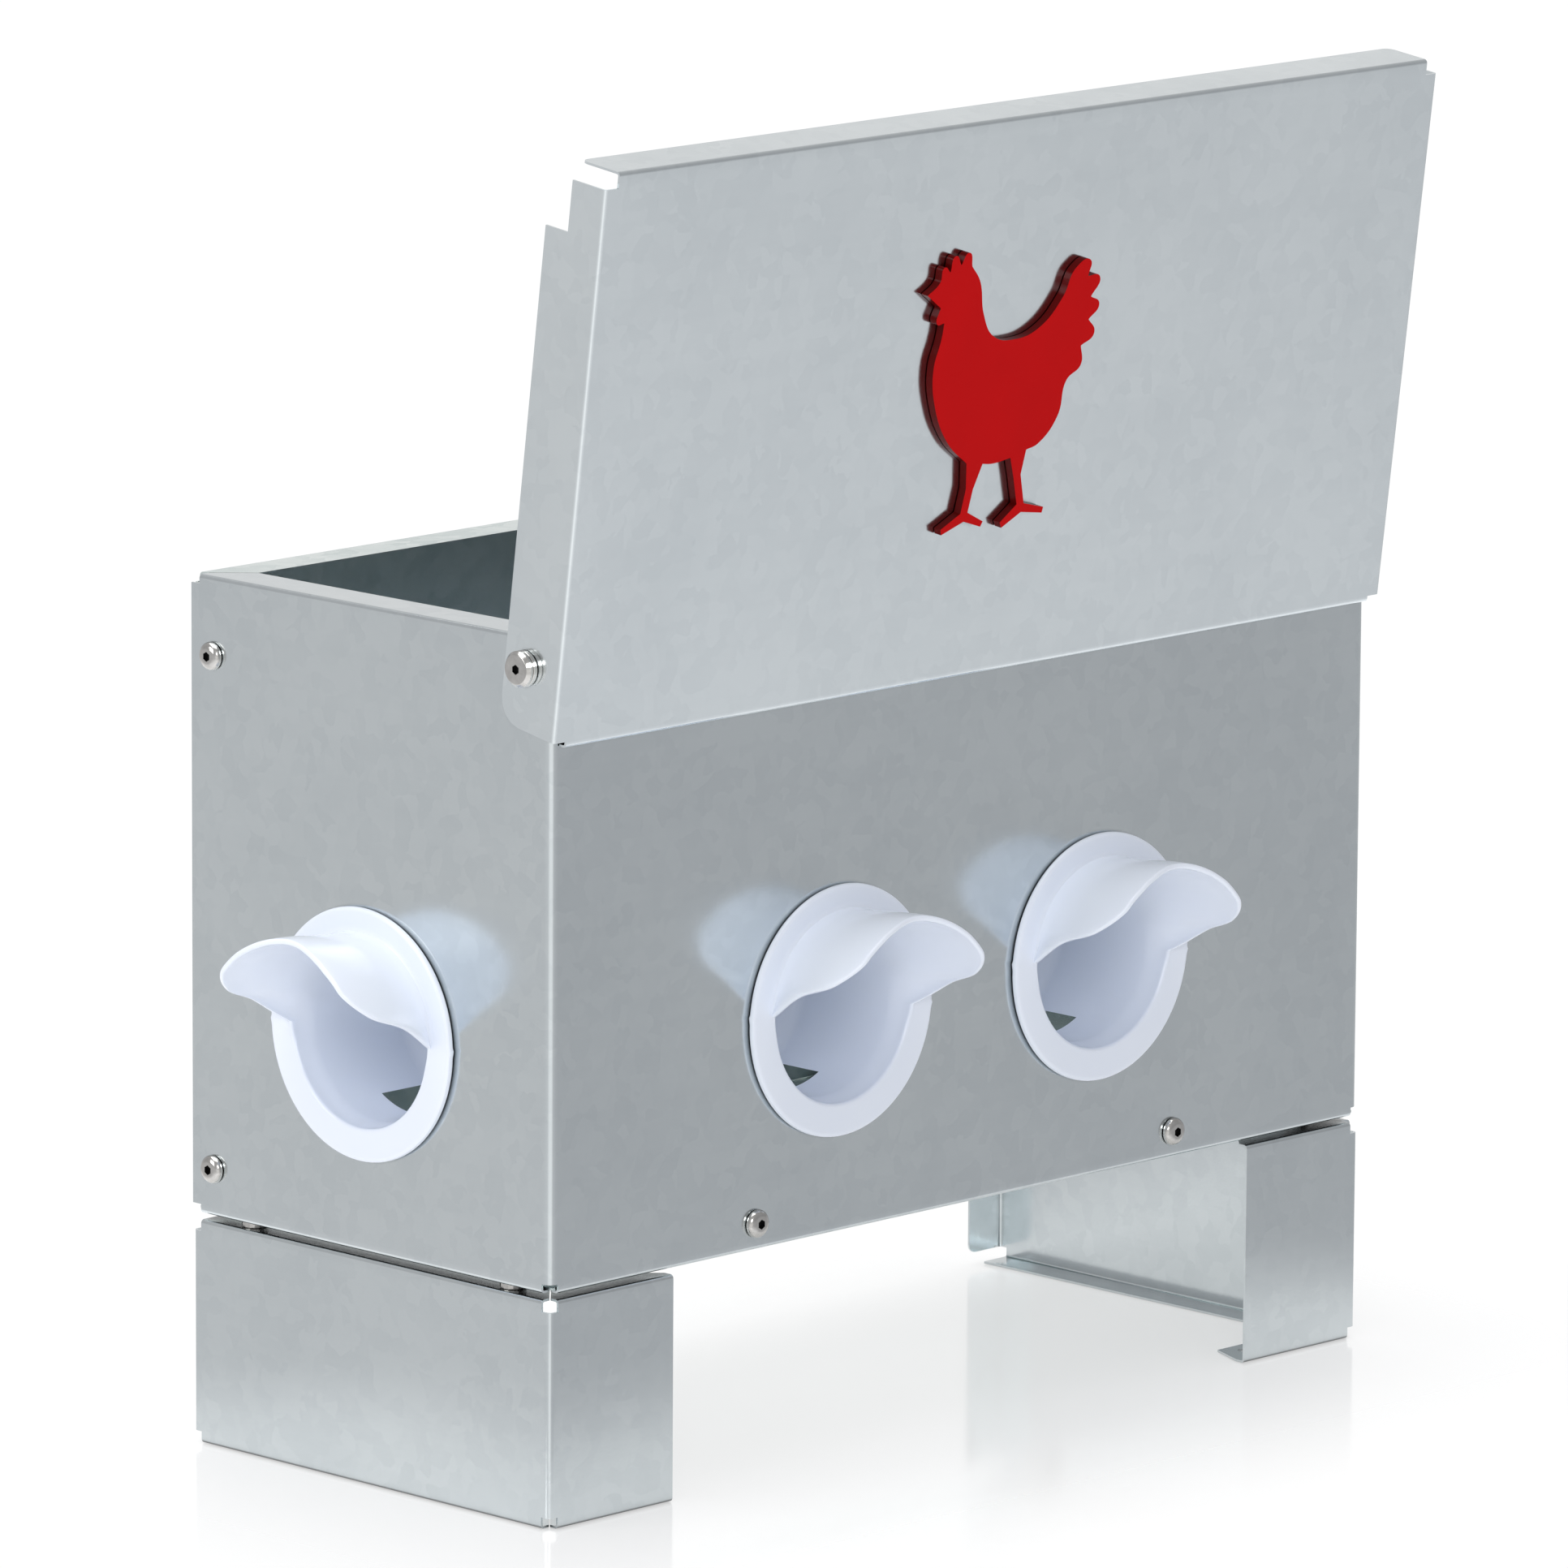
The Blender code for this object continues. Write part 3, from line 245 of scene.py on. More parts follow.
def galvanised_material(name, dark, light, roughness):
    """Zinc coating: crystal spangle in tone and gloss, faint rolling streaks, a slight waviness, and painted
    shade in narrow gaps.
    """
    material = bpy.data.materials.new(name)
    tree, shader = shader_of(material)
    links = tree.links
    vector = mapped(tree, 1.0)
    warp = new_node(tree, "ShaderNodeTexNoise", {"Scale": 90.0, "Detail": 3.0})
    links.new(vector, warp.inputs["Vector"])
    warped = new_node(tree, "ShaderNodeMixRGB", {"Fac": 0.012}, blend_type="ADD")
    links.new(vector, warped.inputs["Color1"])
    links.new(warp.outputs["Color"], warped.inputs["Color2"])
    crystals = new_node(tree, "ShaderNodeTexVoronoi", {"Scale": 170.0, "Randomness": 1.0})
    links.new(warped.outputs["Color"], crystals.inputs["Vector"])
    shade = new_node(tree, "ShaderNodeSeparateColor")
    links.new(crystals.outputs["Color"], shade.inputs["Color"])
    cloud = noise(tree, vector, 14.0, 4.0, 0.6)
    streak = noise(tree, mapped(tree, 1.0, (6.0, 6.0, 160.0)), 1.0, 3.0, 0.6)
    clouded = weighted_sum(tree, shade.outputs["Red"], SPANGLE_SHARE, cloud)
    tone = weighted_sum(tree, streak, SPANGLE_SHARE, clouded)
    colour = ramp(tree, tone, [(0.35, dark), (1.0, light)])
    # painted shade: ambient occlusion darkens the zinc's base colour towards black in gaps and folds
    # narrower than CREVICE
    crevice = new_node(tree, "ShaderNodeAmbientOcclusion", {"Distance": CREVICE}, samples=8)
    painted_gap_shade = ramp(tree, crevice.outputs["AO"], [(0.15, (0.03, 0.03, 0.03)), (0.62, (1.0, 1.0, 1.0))])
    gap_shaded = new_node(tree, "ShaderNodeMixRGB", {"Fac": 1.0}, blend_type="MULTIPLY")
    links.new(colour, gap_shaded.inputs["Color1"])
    links.new(painted_gap_shade, gap_shaded.inputs["Color2"])
    links.new(gap_shaded.outputs["Color"], shader.inputs["Base Color"])
    links.new(span(tree, tone, 0.3, 1.1, roughness + 0.02, roughness - 0.02), shader.inputs["Roughness"])
    shader.inputs["Metallic"].default_value = 1.0
    grain = bumped(tree, noise(tree, vector, 900.0, 2.0), 0.03, 0.2 * MM)
    links.new(bumped(tree, noise(tree, vector, 9.0, 2.0), 0.03, 2 * MM, grain), shader.inputs["Normal"])
    return material


def plastic_material(name, colour, tint, roughness, subsurface):
    """Moulded plastic: a faint mottle in tone and gloss, and a fine orange-peel surface."""
    material = bpy.data.materials.new(name)
    tree, shader = shader_of(material)
    vector = mapped(tree, 1.0)
    mottle = noise(tree, vector, 45.0, 4.0)
    tree.links.new(ramp(tree, mottle, [(0.3, tint), (0.7, colour)]), shader.inputs["Base Color"])
    gloss = span(tree, noise(tree, vector, 220.0, 3.0), 0.0, 1.0, roughness - 0.04, roughness + 0.04)
    tree.links.new(gloss, shader.inputs["Roughness"])
    peel = bumped(tree, noise(tree, vector, 700.0, 2.0), 0.04, 0.2 * MM)
    tree.links.new(peel, shader.inputs["Normal"])
    shader.inputs["Subsurface Weight"].default_value = subsurface
    shader.inputs["Subsurface Radius"].default_value = (0.004, 0.004, 0.005)
    shader.inputs["Subsurface Scale"].default_value = 1.0
    return material


def turned_metal_material(name, dark, light, roughness):
    """Turned steel with slightly uneven tone and gloss, and a fine grain."""
    material = bpy.data.materials.new(name)
    tree, shader = shader_of(material)
    vector = mapped(tree, 1.0)
    uneven = noise(tree, vector, 400.0, 4.0)
    tree.links.new(ramp(tree, uneven, [(0.3, dark), (0.7, light)]), shader.inputs["Base Color"])
    gloss = span(tree, noise(tree, vector, 900.0, 2.0), 0.0, 1.0, roughness - 0.05, roughness + 0.08)
    tree.links.new(gloss, shader.inputs["Roughness"])
    shader.inputs["Metallic"].default_value = 1.0
    grain = bumped(tree, noise(tree, vector, 2600.0, 1.0), 0.10, 0.1 * MM)
    tree.links.new(grain, shader.inputs["Normal"])
    return material


GALVANISED = galvanised_material("galvanised_zinc", (0.60, 0.645, 0.665), (0.68, 0.725, 0.74), 0.17)
# painted light: a brighter copy of the galvanised zinc, so the lid reads lighter than the box as it does
# where light falls on it
LIT_LID_ZINC = galvanised_material("lit_lid_zinc", (0.70, 0.75, 0.77), (0.78, 0.83, 0.845), 0.17)
RAW_ZINC = galvanised_material("raw_zinc", (0.50, 0.60, 0.60), (0.82, 0.88, 0.86), 0.26)
WHITE_PLASTIC = plastic_material("white_moulding", (0.81, 0.86, 0.955), (0.80, 0.85, 0.95), 0.18, 0.06)
STAINLESS = turned_metal_material("stainless_steel", (0.50, 0.49, 0.47), (0.60, 0.59, 0.57), 0.13)
RED_ACRYLIC = plastic_material("red_acrylic", (0.53, 0.003, 0.004), (0.50, 0.003, 0.004), 0.16, 0.0)
# painted shade: near-black metal for the walls of the hex sockets, where shade falls in the recess
SOCKET_SHADE = turned_metal_material("socket_painted_shade", (0.05, 0.05, 0.052), (0.09, 0.09, 0.09), 0.35)
NYLON = plastic_material("black_nylon", (0.05, 0.05, 0.055), (0.04, 0.04, 0.045), 0.42, 0.0)


def paint_dark_edge_reflection(material, face_normal, colour):
    """Paints a dark reflection on the cut edges: faces turned away from the normal take the colour, in place
    of the dark surroundings the shiny cut faces mirror.
    """
    tree, shader = shader_of(material)
    shader.inputs["Specular IOR Level"].default_value = 0.05
    coords = new_node(tree, "ShaderNodeTexCoord")
    facing = new_node(tree, "ShaderNodeVectorMath", operation="DOT_PRODUCT")
    facing.inputs[1].default_value = face_normal
    tree.links.new(coords.outputs["Normal"], facing.inputs[0])
    amount = span(tree, facing.outputs["Value"], 0.4, 0.9)
    base = shader.inputs["Base Color"].links[0].from_socket
    mix = new_node(tree, "ShaderNodeMixRGB")
    mix.inputs["Color1"].default_value = (*colour, 1.0)
    tree.links.new(amount, mix.inputs["Fac"])
    tree.links.new(base, mix.inputs["Color2"])
    tree.links.new(mix.outputs["Color"], shader.inputs["Base Color"])

SHEET_FINISH = {"lid": LIT_LID_ZINC, "back_panel": RAW_ZINC, "floor_pan": RAW_ZINC}
LID_NORMAL = (0.0, -math.sin(math.radians(LID_OPEN_DEG)), math.cos(math.radians(LID_OPEN_DEG)))
# painted reflection: the emblem's cut edges take a near-black red, standing in for the dark surroundings
# they mirror
paint_dark_edge_reflection(RED_ACRYLIC, LID_NORMAL, (0.09, 0.002, 0.002))

# ------------------------------------------------------------------------------------------- pieces

BODY = {node: body for body, nodes in frame["record"]["behaviour"]["bodies"].items() for node in nodes}
SUFFIX = "_fine"
drafts = []
helpers = []


def add_object(name, mesh, finish, parent, location=(0, 0, 0), rotation=(0, 0, 0)):
    """A draft piece that will stand for the CAD node of its name."""
    obj = bpy.data.objects.new(name + SUFFIX, mesh)
    bpy.context.scene.collection.objects.link(obj)
    mesh.materials.clear()
    mesh.materials.append(finish)
    obj.parent = parent
    obj.location = location
    obj.rotation_euler = rotation
    drafts.append((name, obj, finish))
    return obj


def add_empty(name, location, rotation):
    empty = bpy.data.objects.new(name, None)
    bpy.context.scene.collection.objects.link(empty)
    empty.location = location
    empty.rotation_euler = rotation
    helpers.append(empty)
    return empty


def mesh_from(bm, name, smooth_deg=None):
    mesh = bpy.data.meshes.new(name)
    bm.to_mesh(mesh)
    bm.free()
    if smooth_deg is not None:
        mesh.shade_smooth()
        mesh.set_sharp_from_angle(angle=math.radians(smooth_deg))
    return mesh


def add_cutter(name, bm, parent, location=(0, 0, 0), rotation=(0, 0, 0)):
    obj = bpy.data.objects.new(name, mesh_from(bm, name))
    bpy.context.scene.collection.objects.link(obj)
    obj.hide_render = True
    obj.parent = parent
    obj.location = location
    obj.rotation_euler = rotation
    helpers.append(obj)
    return obj


def boolean(obj, other, operation="DIFFERENCE"):
    modifier = obj.modifiers.new(other.name, "BOOLEAN")
    modifier.material_mode = "TRANSFER" if other.data.materials else "INDEX"
    modifier.operation = operation
    modifier.solver = "EXACT"
    modifier.object = other


def settle(obj):
    """Fixes an object's modifiers and place into its mesh, with face-weighted normals."""
    bpy.context.view_layer.update()
    place = obj.matrix_world.copy()
    evaluated = obj.evaluated_get(bpy.context.evaluated_depsgraph_get())
    mesh = bpy.data.meshes.new_from_object(evaluated)
    mesh.transform(place)
    obj.modifiers.clear()
    obj.parent = None
    obj.matrix_world = Matrix.Identity(4)
    obj.data = mesh
    bm = bmesh.new()
    bm.from_mesh(mesh)
    bmesh.ops.remove_doubles(bm, verts=bm.verts, dist=2e-6)
    bmesh.ops.dissolve_degenerate(bm, edges=bm.edges, dist=2e-6)
    bm.to_mesh(mesh)
    bm.free()
    mesh.shade_smooth()
    mesh.set_sharp_from_angle(angle=math.radians(32))
    weighted = obj.modifiers.new("weighted_normals", "WEIGHTED_NORMAL")
    weighted.mode = "FACE_AREA"
    weighted.weight = 80
    weighted.keep_sharp = True


# ------------------------------------------------------------------------------- sheet metal tools

TURN_TO = {
    "X": Matrix.Rotation(math.radians(90), 4, "Y"),
    "Y": Matrix.Rotation(math.radians(-90), 4, "X"),
    "Z": Matrix.Identity(4),
}


def add_cylinder(bm, centre, axis, radius, length, segments=BOLT_SEGMENTS):
    """A closed cylinder centred on a point, for drilling."""
    bmesh.ops.create_cone(
        bm,
        cap_ends=True,
        segments=segments,
        radius1=radius,
        radius2=radius,
        depth=length,
        matrix=Matrix.Translation(centre) @ TURN_TO[axis],
    )


def drill(obj, holes, parent):
    """Cuts round holes, each given as (centre, axis letter, radius, length), with one cutter."""
    bm = bmesh.new()
    for centre, axis, radius, length in holes:
        segments = PORT_SEGMENTS if radius > 10 * MM else 12
        add_cylinder(bm, centre, axis, radius, length, segments)
    boolean(obj, add_cutter(obj.name + "_holes", bm, parent))


def slice_at(bm, point, normal):
    """Adds vertices where a plane crosses the sheet."""
    bmesh.ops.bisect_plane(
        bm,
        geom=bm.verts[:] + bm.edges[:] + bm.faces[:],
        plane_co=point,
        plane_no=normal,
        dist=1e-6,
    )


def drop_faces(bm, test):
    doomed = [face for face in bm.faces if test(face.calc_center_median())]
    bmesh.ops.delete(bm, geom=doomed, context="FACES")


def box_walls(bm, size, centre, keep):
    """The faces of a box whose outward normals point one of the ways in keep."""
    bmesh.ops.create_cube(bm, size=1.0, matrix=Matrix.Translation(centre) @ Matrix.Diagonal((*size, 1.0)))
    wanted = [Vector(normal) for normal in keep]
    bm.normal_update()
    doomed = [f for f in bm.faces if not any(f.normal.dot(n) > 0.9 for n in wanted)]
    bmesh.ops.delete(bm, geom=doomed, context="FACES")


def fold(bm, start, end, turn, mitres=(0.0, 0.0)):
    """Folds a flange from the free edge between two points. Its ends are drawn in by the two mitres."""
    start, end, turn = Vector(start), Vector(end), Vector(turn)
    along = (end - start).normalized()
    reach = (end - start).length

    def on_line(vert):
        offset = vert.co - start
        place = offset.dot(along)
        return (offset - along * place).length < 1e-5 and -1e-5 < place < reach + 1e-5

    edges = [e for e in bm.edges if e.is_boundary and on_line(e.verts[0]) and on_line(e.verts[1])]
    made = bmesh.ops.extrude_edge_only(bm, edges=edges)["geom"]
    for vert in (item for item in made if isinstance(item, bmesh.types.BMVert)):
        at_start = (vert.co - start).dot(along) < reach / 2
        vert.co += turn + along * (mitres[0] if at_start else -mitres[1])


def flange(bm, start, end, way, width, slopes=(1.0, 1.0)):
    """Folds a flange towards a unit vector. Past the corner relief, each end runs in by its slope."""
    start, end, way = Vector(start), Vector(end), Vector(way)
    along = (end - start).normalized()
    gaps = [CLEAR * slope for slope in slopes]
    fold(bm, start, end, way * RELIEF, gaps)
    start += way * RELIEF + along * gaps[0]
    end += way * RELIEF - along * gaps[1]
    run = width - RELIEF
    fold(bm, start, end, way * run, [run * slope for slope in slopes])


def fold_lines(bm, test=None):
    """The edges where two faces of the sheet meet at an angle."""
    bm.normal_update()
    found = [e for e in bm.edges if len(e.link_faces) == 2 and e.calc_face_angle() > 0.5]
    return [e for e in found if test is None or test(e)]


def round_folds(bm, edges, radius, segments):
    bmesh.ops.bevel(
        bm,
        geom=edges,
        offset=radius,
        offset_type="OFFSET",
        segments=segments,
        profile=0.5,
        affect="EDGES",
        clamp_overlap=True,
    )


def is_upright(edge):
    run = edge.verts[1].co - edge.verts[0].co
    return abs(run.z) > 0.9 * run.length


def flange_creases(bm):
    """The square level folds, once the upright ones are already rounded."""
    return fold_lines(bm, lambda e: not is_upright(e) and abs(e.calc_face_angle() - math.pi / 2) < 0.1)


def round_outline_corners(bm, test, radius, segments=3):
    """Rounds free corners of the sheet's outline."""
    corners = [v for v in bm.verts if v.is_boundary and len(v.link_faces) == 1 and test(v.co)]
    bmesh.ops.bevel(bm, geom=corners, offset=radius, segments=segments, profile=0.5, affect="VERTICES")


def add_sheet(name, bm, parent, location=(0, 0, 0), rotation=(0, 0, 0)):
    """The drawn surface is the outer side of the sheet, which is thickened inwards."""
    finish = SHEET_FINISH.get(name, GALVANISED)
    obj = add_object(name, mesh_from(bm, name), finish, parent, location, rotation)
    solidify = obj.modifiers.new("sheet", "SOLIDIFY")
    solidify.thickness = SHEET
    solidify.offset = -1.0
    solidify.use_even_offset = True
    return obj


# --------------------------------------------------------------------------------------- fasteners


def turned(name, profile, segments=BOLT_SEGMENTS):
    """Mesh of a profile of (radius, height) points turned about Z. It runs down its outer side."""
    curve = bmesh.new()
    verts = [curve.verts.new((radius, 0.0, height)) for radius, height in profile]
    for first, second in zip(verts, verts[1:]):
        curve.edges.new((first, second))
    if profile[0][0] > 0:
        curve.edges.new((verts[-1], verts[0]))
    blank = bpy.data.objects.new(name + "_profile", mesh_from(curve, name + "_profile"))
    bpy.context.scene.collection.objects.link(blank)
    blank.hide_render = True
    screw = blank.modifiers.new("turn", "SCREW")
    screw.axis = "Z"
    screw.steps = segments
    screw.render_steps = segments
    screw.use_merge_vertices = True
    screw.merge_threshold = 0.00001
    bpy.context.view_layer.update()
    evaluated = blank.evaluated_get(bpy.context.evaluated_depsgraph_get())
    mesh = bpy.data.meshes.new_from_object(evaluated)
    mesh.name = name
    bpy.data.objects.remove(blank, do_unlink=True)
    mesh.shade_smooth()
    mesh.set_sharp_from_angle(angle=math.radians(40))
    return mesh


def dome(radius, height, rim, steps):
    """Points from the crown of a domed head out and down to its rim."""
    points = []
    for step in range(steps + 1):
        angle = math.radians(90) * step / steps
        out = 0.45 * radius + 0.55 * radius * math.sin(angle)
        points.append((out, rim + (height - rim) * math.cos(angle)))
    return points


def hex_prism(bm, flats, bottom, top):
    """A closed hexagonal bar along Z."""
    radius = flats / math.sqrt(3)
    middle = Matrix.Translation((0, 0, (bottom + top) / 2))
    bmesh.ops.create_cone(
        bm, cap_ends=True, segments=6, radius1=radius, radius2=radius, depth=top - bottom, matrix=middle
    )


# Turning the local +Z axis to face out of each side of the box
FACING = {
    "front": (math.radians(90), 0, 0),
    "back": (math.radians(-90), 0, 0),
    "left": (math.radians(90), 0, math.radians(-90)),
    "right": (math.radians(90), 0, math.radians(90)),
    "up": (0, 0, 0),
}
OUTWARD = {
    "front": Vector((0, -1, 0)),
    "back": Vector((0, 1, 0)),
    "left": Vector((-1, 0, 0)),
    "right": Vector((1, 0, 0)),
    "up": Vector((0, 0, 1)),
}


def panel_bolt_seats(y):
    height = BOX_BOTTOM + PANEL_BOLT_RISE
    return {name: Vector((sign * PANEL_BOLT_X, y, height)) for name, sign in (("left", -1), ("right", 1))}


def end_bolt_seats(sign):
    y = BACK_Y - END_BOLT_FROM_BACK
    x = sign * HALF_LENGTH
    return {
        "upper": Vector((x, y, BOX_TOP - END_BOLT_FROM_TOP)),
        "lower": Vector((x, y, BOX_BOTTOM + END_BOLT_FROM_BOTTOM)),
    }


def leg_bolt_places(sign):
    x = sign * (HALF_LENGTH - LEG_BOLT_INSET)
    return {
        "front": Vector((x, CENTRE_Y - LEG_BOLT_Y, LEG_HEIGHT)),
        "back": Vector((x, CENTRE_Y + LEG_BOLT_Y, LEG_HEIGHT)),
    }


def port_places():
    """Where each port's axis meets the outer face, and the side it faces."""
    end_y = CENTRE_Y + END_PORT_SETBACK
    return {
        "port_front_left": ("front", Vector((-PORT_SPACING / 2, FRONT_Y, PORT_HEIGHT))),
        "port_front_right": ("front", Vector((PORT_SPACING / 2, FRONT_Y, PORT_HEIGHT))),
        "port_left_end": ("left", Vector((-HALF_LENGTH, end_y, END_PORT_HEIGHT))),
        "port_right_end": ("right", Vector((HALF_LENGTH, end_y, END_PORT_HEIGHT))),
    }


def front_and_ends(parent):
    """Front wall and both ends in one wrapped sheet, with rim and sill flanges."""
    bm = bmesh.new()
    middle = (0, CENTRE_Y, (BOX_BOTTOM + BOX_TOP) / 2)
    box_walls(bm, (LENGTH, DEPTH, BOX_HEIGHT), middle, [(-1, 0, 0), (1, 0, 0), (0, -1, 0)])
    x_relief = HALF_LENGTH - RELIEF
    y_front = FRONT_Y + RELIEF
    y_back = BACK_Y - RELIEF
    z_low = BOX_BOTTOM + 0.8 * RELIEF
    z_high = BOX_TOP - 0.8 * RELIEF
    for x in (-x_relief, x_relief):
        slice_at(bm, (x, 0, 0), (1, 0, 0))
    for y in (y_front, y_back):
        slice_at(bm, (0, y, 0), (0, 1, 0))
    for z in (z_low, z_high):
        slice_at(bm, (0, 0, z), (0, 0, 1))

    def at_a_corner(point):
        near_end = abs(point.x) > x_relief and (point.y < y_front or point.y > y_back)
        return near_end and (point.z < z_low or point.z > z_high)

    drop_faces(bm, at_a_corner)
    for z, width in ((BOX_TOP, RIM_WIDTH), (BOX_BOTTOM, SILL_WIDTH)):
        for sign in (-1, 1):
            x = sign * HALF_LENGTH
            flange(bm, (x, y_front, z), (x, y_back, z), (-sign, 0, 0), width)
        flange(bm, (-x_relief, FRONT_Y, z), (x_relief, FRONT_Y, z), (0, 1, 0), width)
    round_folds(bm, fold_lines(bm, is_upright), BOX_CORNER_RADIUS, CORNER_SEGMENTS)
    round_folds(bm, flange_creases(bm), FOLD_RADIUS, FOLD_SEGMENTS)
    wrap = add_sheet("front_and_ends", bm, parent)

    holes = []
    for side, place in port_places().values():
        holes.append((place, "Y" if side == "front" else "X", THROAT_RADIUS + PORT_WALL + 0.5 * MM, 10 * MM))
    for seat in panel_bolt_seats(FRONT_Y).values():
        holes.append((seat, "Y", HOLE_RADIUS, 6 * MM))
    for sign in (-1, 1):
        for seat in end_bolt_seats(sign).values():
            holes.append((seat, "X", HOLE_RADIUS, 6 * MM))
        holes.append((Vector((sign * HALF_LENGTH, PIVOT_Y, PIVOT_Z)), "X", HOLE_RADIUS, 6 * MM))
        for place in leg_bolt_places(sign).values():
            holes.append((Vector((place.x, place.y, BOX_BOTTOM)), "Z", HOLE_RADIUS, 6 * MM))
    drill(wrap, holes, parent)


def back_panel(parent):
    """Back wall, with tabs that lie inside the ends, and rim and sill flanges."""
    bm = bmesh.new()
    half = HALF_LENGTH - SHEET - CLEAR
    middle = (0, CENTRE_Y, (BOX_BOTTOM + BOX_TOP) / 2)
    box_walls(bm, (2 * half, DEPTH, BOX_HEIGHT), middle, [(0, 1, 0)])
    x_relief = HALF_LENGTH - RELIEF
    z_low = BOX_BOTTOM + 0.8 * RELIEF
    z_high = BOX_TOP - 0.8 * RELIEF
    for x in (-x_relief, x_relief):
        slice_at(bm, (x, 0, 0), (1, 0, 0))
    for z in (z_low, z_high):
        slice_at(bm, (0, 0, z), (0, 0, 1))
    drop_faces(bm, lambda p: abs(p.x) > x_relief and (p.z < z_low or p.z > z_high))
    for z, width in ((BOX_TOP, RIM_WIDTH), (BOX_BOTTOM, SILL_WIDTH)):
        flange(bm, (-x_relief, BACK_Y, z), (x_relief, BACK_Y, z), (0, -1, 0), width)
    for sign in (-1, 1):
        x = sign * half
        fold(bm, (x, BACK_Y, z_low), (x, BACK_Y, z_high), (0, -BACK_TAB_WIDTH, 0))
    round_folds(bm, fold_lines(bm), FOLD_RADIUS, FOLD_SEGMENTS)
    panel = add_sheet("back_panel", bm, parent)

    holes = [(seat, "Y", HOLE_RADIUS, 6 * MM) for seat in panel_bolt_seats(BACK_Y).values()]
    for sign in (-1, 1):
        holes += [(seat, "X", HOLE_RADIUS, 8 * MM) for seat in end_bolt_seats(sign).values()]
    drill(panel, holes, parent)


def floor_pan(parent):
    """Floor of the hopper, lying on the sill flanges, its front and back edges turned up."""
    bm = bmesh.new()
    front = FRONT_Y + SHEET + CLEAR
    back = BACK_Y - SHEET - CLEAR
    size = (2 * PAN_HALF_LENGTH, back - front, SHEET)
    box_walls(bm, size, (0, (front + back) / 2, PAN_Z + SHEET / 2), [(0, 0, -1)])
    turned_half = PAN_HALF_LENGTH - RELIEF
    for x in (-turned_half, turned_half):
        slice_at(bm, (x, 0, 0), (1, 0, 0))
    for y in (front, back):
        fold(bm, (-turned_half, y, PAN_Z), (turned_half, y, PAN_Z), (0, 0, PAN_TURN_UP))
    round_folds(bm, fold_lines(bm), FOLD_RADIUS, FOLD_SEGMENTS)
    pan = add_sheet("floor_pan", bm, parent)

    holes = []
    for y in (FRONT_Y, BACK_Y):
        holes += [(seat, "Y", HOLE_RADIUS, 8 * MM) for seat in panel_bolt_seats(y).values()]
    for sign in (-1, 1):
        for place in leg_bolt_places(sign).values():
            holes.append((Vector((place.x, place.y, PAN_Z)), "Z", HOLE_RADIUS, 6 * MM))
    drill(pan, holes, parent)


def leg(name, sign, parent):
    """U-shaped leg under one end of the box: end plate, front and back returns, top flanges and feet."""
    bm = bmesh.new()
    middle = (0, CENTRE_Y, LEG_HEIGHT / 2)
    box_walls(bm, (LENGTH, DEPTH, LEG_HEIGHT), middle, [(sign, 0, 0), (0, -1, 0), (0, 1, 0)])
    outer = sign * HALF_LENGTH
    front_edge = sign * (HALF_LENGTH - LEG_FRONT_RETURN)
    back_edge = sign * (HALF_LENGTH - LEG_BACK_RETURN)
    x_relief = sign * (HALF_LENGTH - RELIEF)
    y_front = FRONT_Y + RELIEF
    y_back = BACK_Y - RELIEF
    z_low = RELIEF
    z_high = LEG_HEIGHT - RELIEF
    for x in (front_edge, back_edge, x_relief):
        slice_at(bm, (x, 0, 0), (1, 0, 0))
    for y in (y_front, y_back):
        slice_at(bm, (0, y, 0), (0, 1, 0))
    for z in (z_low, z_high):
        slice_at(bm, (0, 0, z), (0, 0, 1))

    def not_leg(point):
        inward = HALF_LENGTH - sign * point.x
        high_or_low = point.z < z_low or point.z > z_high
        if point.y > y_back:
            return inward > LEG_BACK_RETURN or high_or_low
        if point.y < y_front:
            return inward > LEG_FRONT_RETURN or (high_or_low and inward < RELIEF)
        return False

    drop_faces(bm, not_leg)
    widths = ((LEG_HEIGHT, LEG_TOP_FLANGE, LEG_TOP_FLANGE, 1.0), (0.0, LEG_END_FOOT, LEG_FRONT_FOOT, 0.4))
    for z, end_width, front_width, slant in widths:
        flange(bm, (outer, y_front, z), (outer, y_back, z), (-sign, 0, 0), end_width, (1.0, 0.0))
        flange(bm, (x_relief, FRONT_Y, z), (front_edge, FRONT_Y, z), (0, 1, 0), front_width, (1.0, slant))
    round_outline_corners(
        bm,
        lambda p: p.y > BACK_Y - CLEAR and abs(p.x - back_edge) < CLEAR and p.z < LEG_HEIGHT / 2,
        3.0 * MM,
        6,
    )
    round_folds(bm, fold_lines(bm, is_upright), LEG_CORNER_RADIUS, CORNER_SEGMENTS)
    round_folds(bm, flange_creases(bm), FOLD_RADIUS, FOLD_SEGMENTS)
    made = add_sheet(name, bm, parent)

    holes = [(place, "Z", RIVET_RADIUS + CLEAR, 6 * MM) for place in leg_bolt_places(sign).values()]
    anchor = Vector((front_edge + sign * 12 * MM, FRONT_Y + 11.5 * MM, 0))
    holes.append((anchor, "Z", ANCHOR_HOLE_RADIUS, 6 * MM))
    drill(made, holes, parent)


# ------------------------------------------------------------------------------------------- ports

VISOR_COLUMNS = 48
LOWER_COLUMNS = 30
WALL_HALF = PORT_WALL / 2
NIB_HEIGHT = 0.45 * MM  # moulding nibs on the flange's rim, at its sides
VISOR_REACH = VISOR_EDGE[2][2] - 0.1 * MM


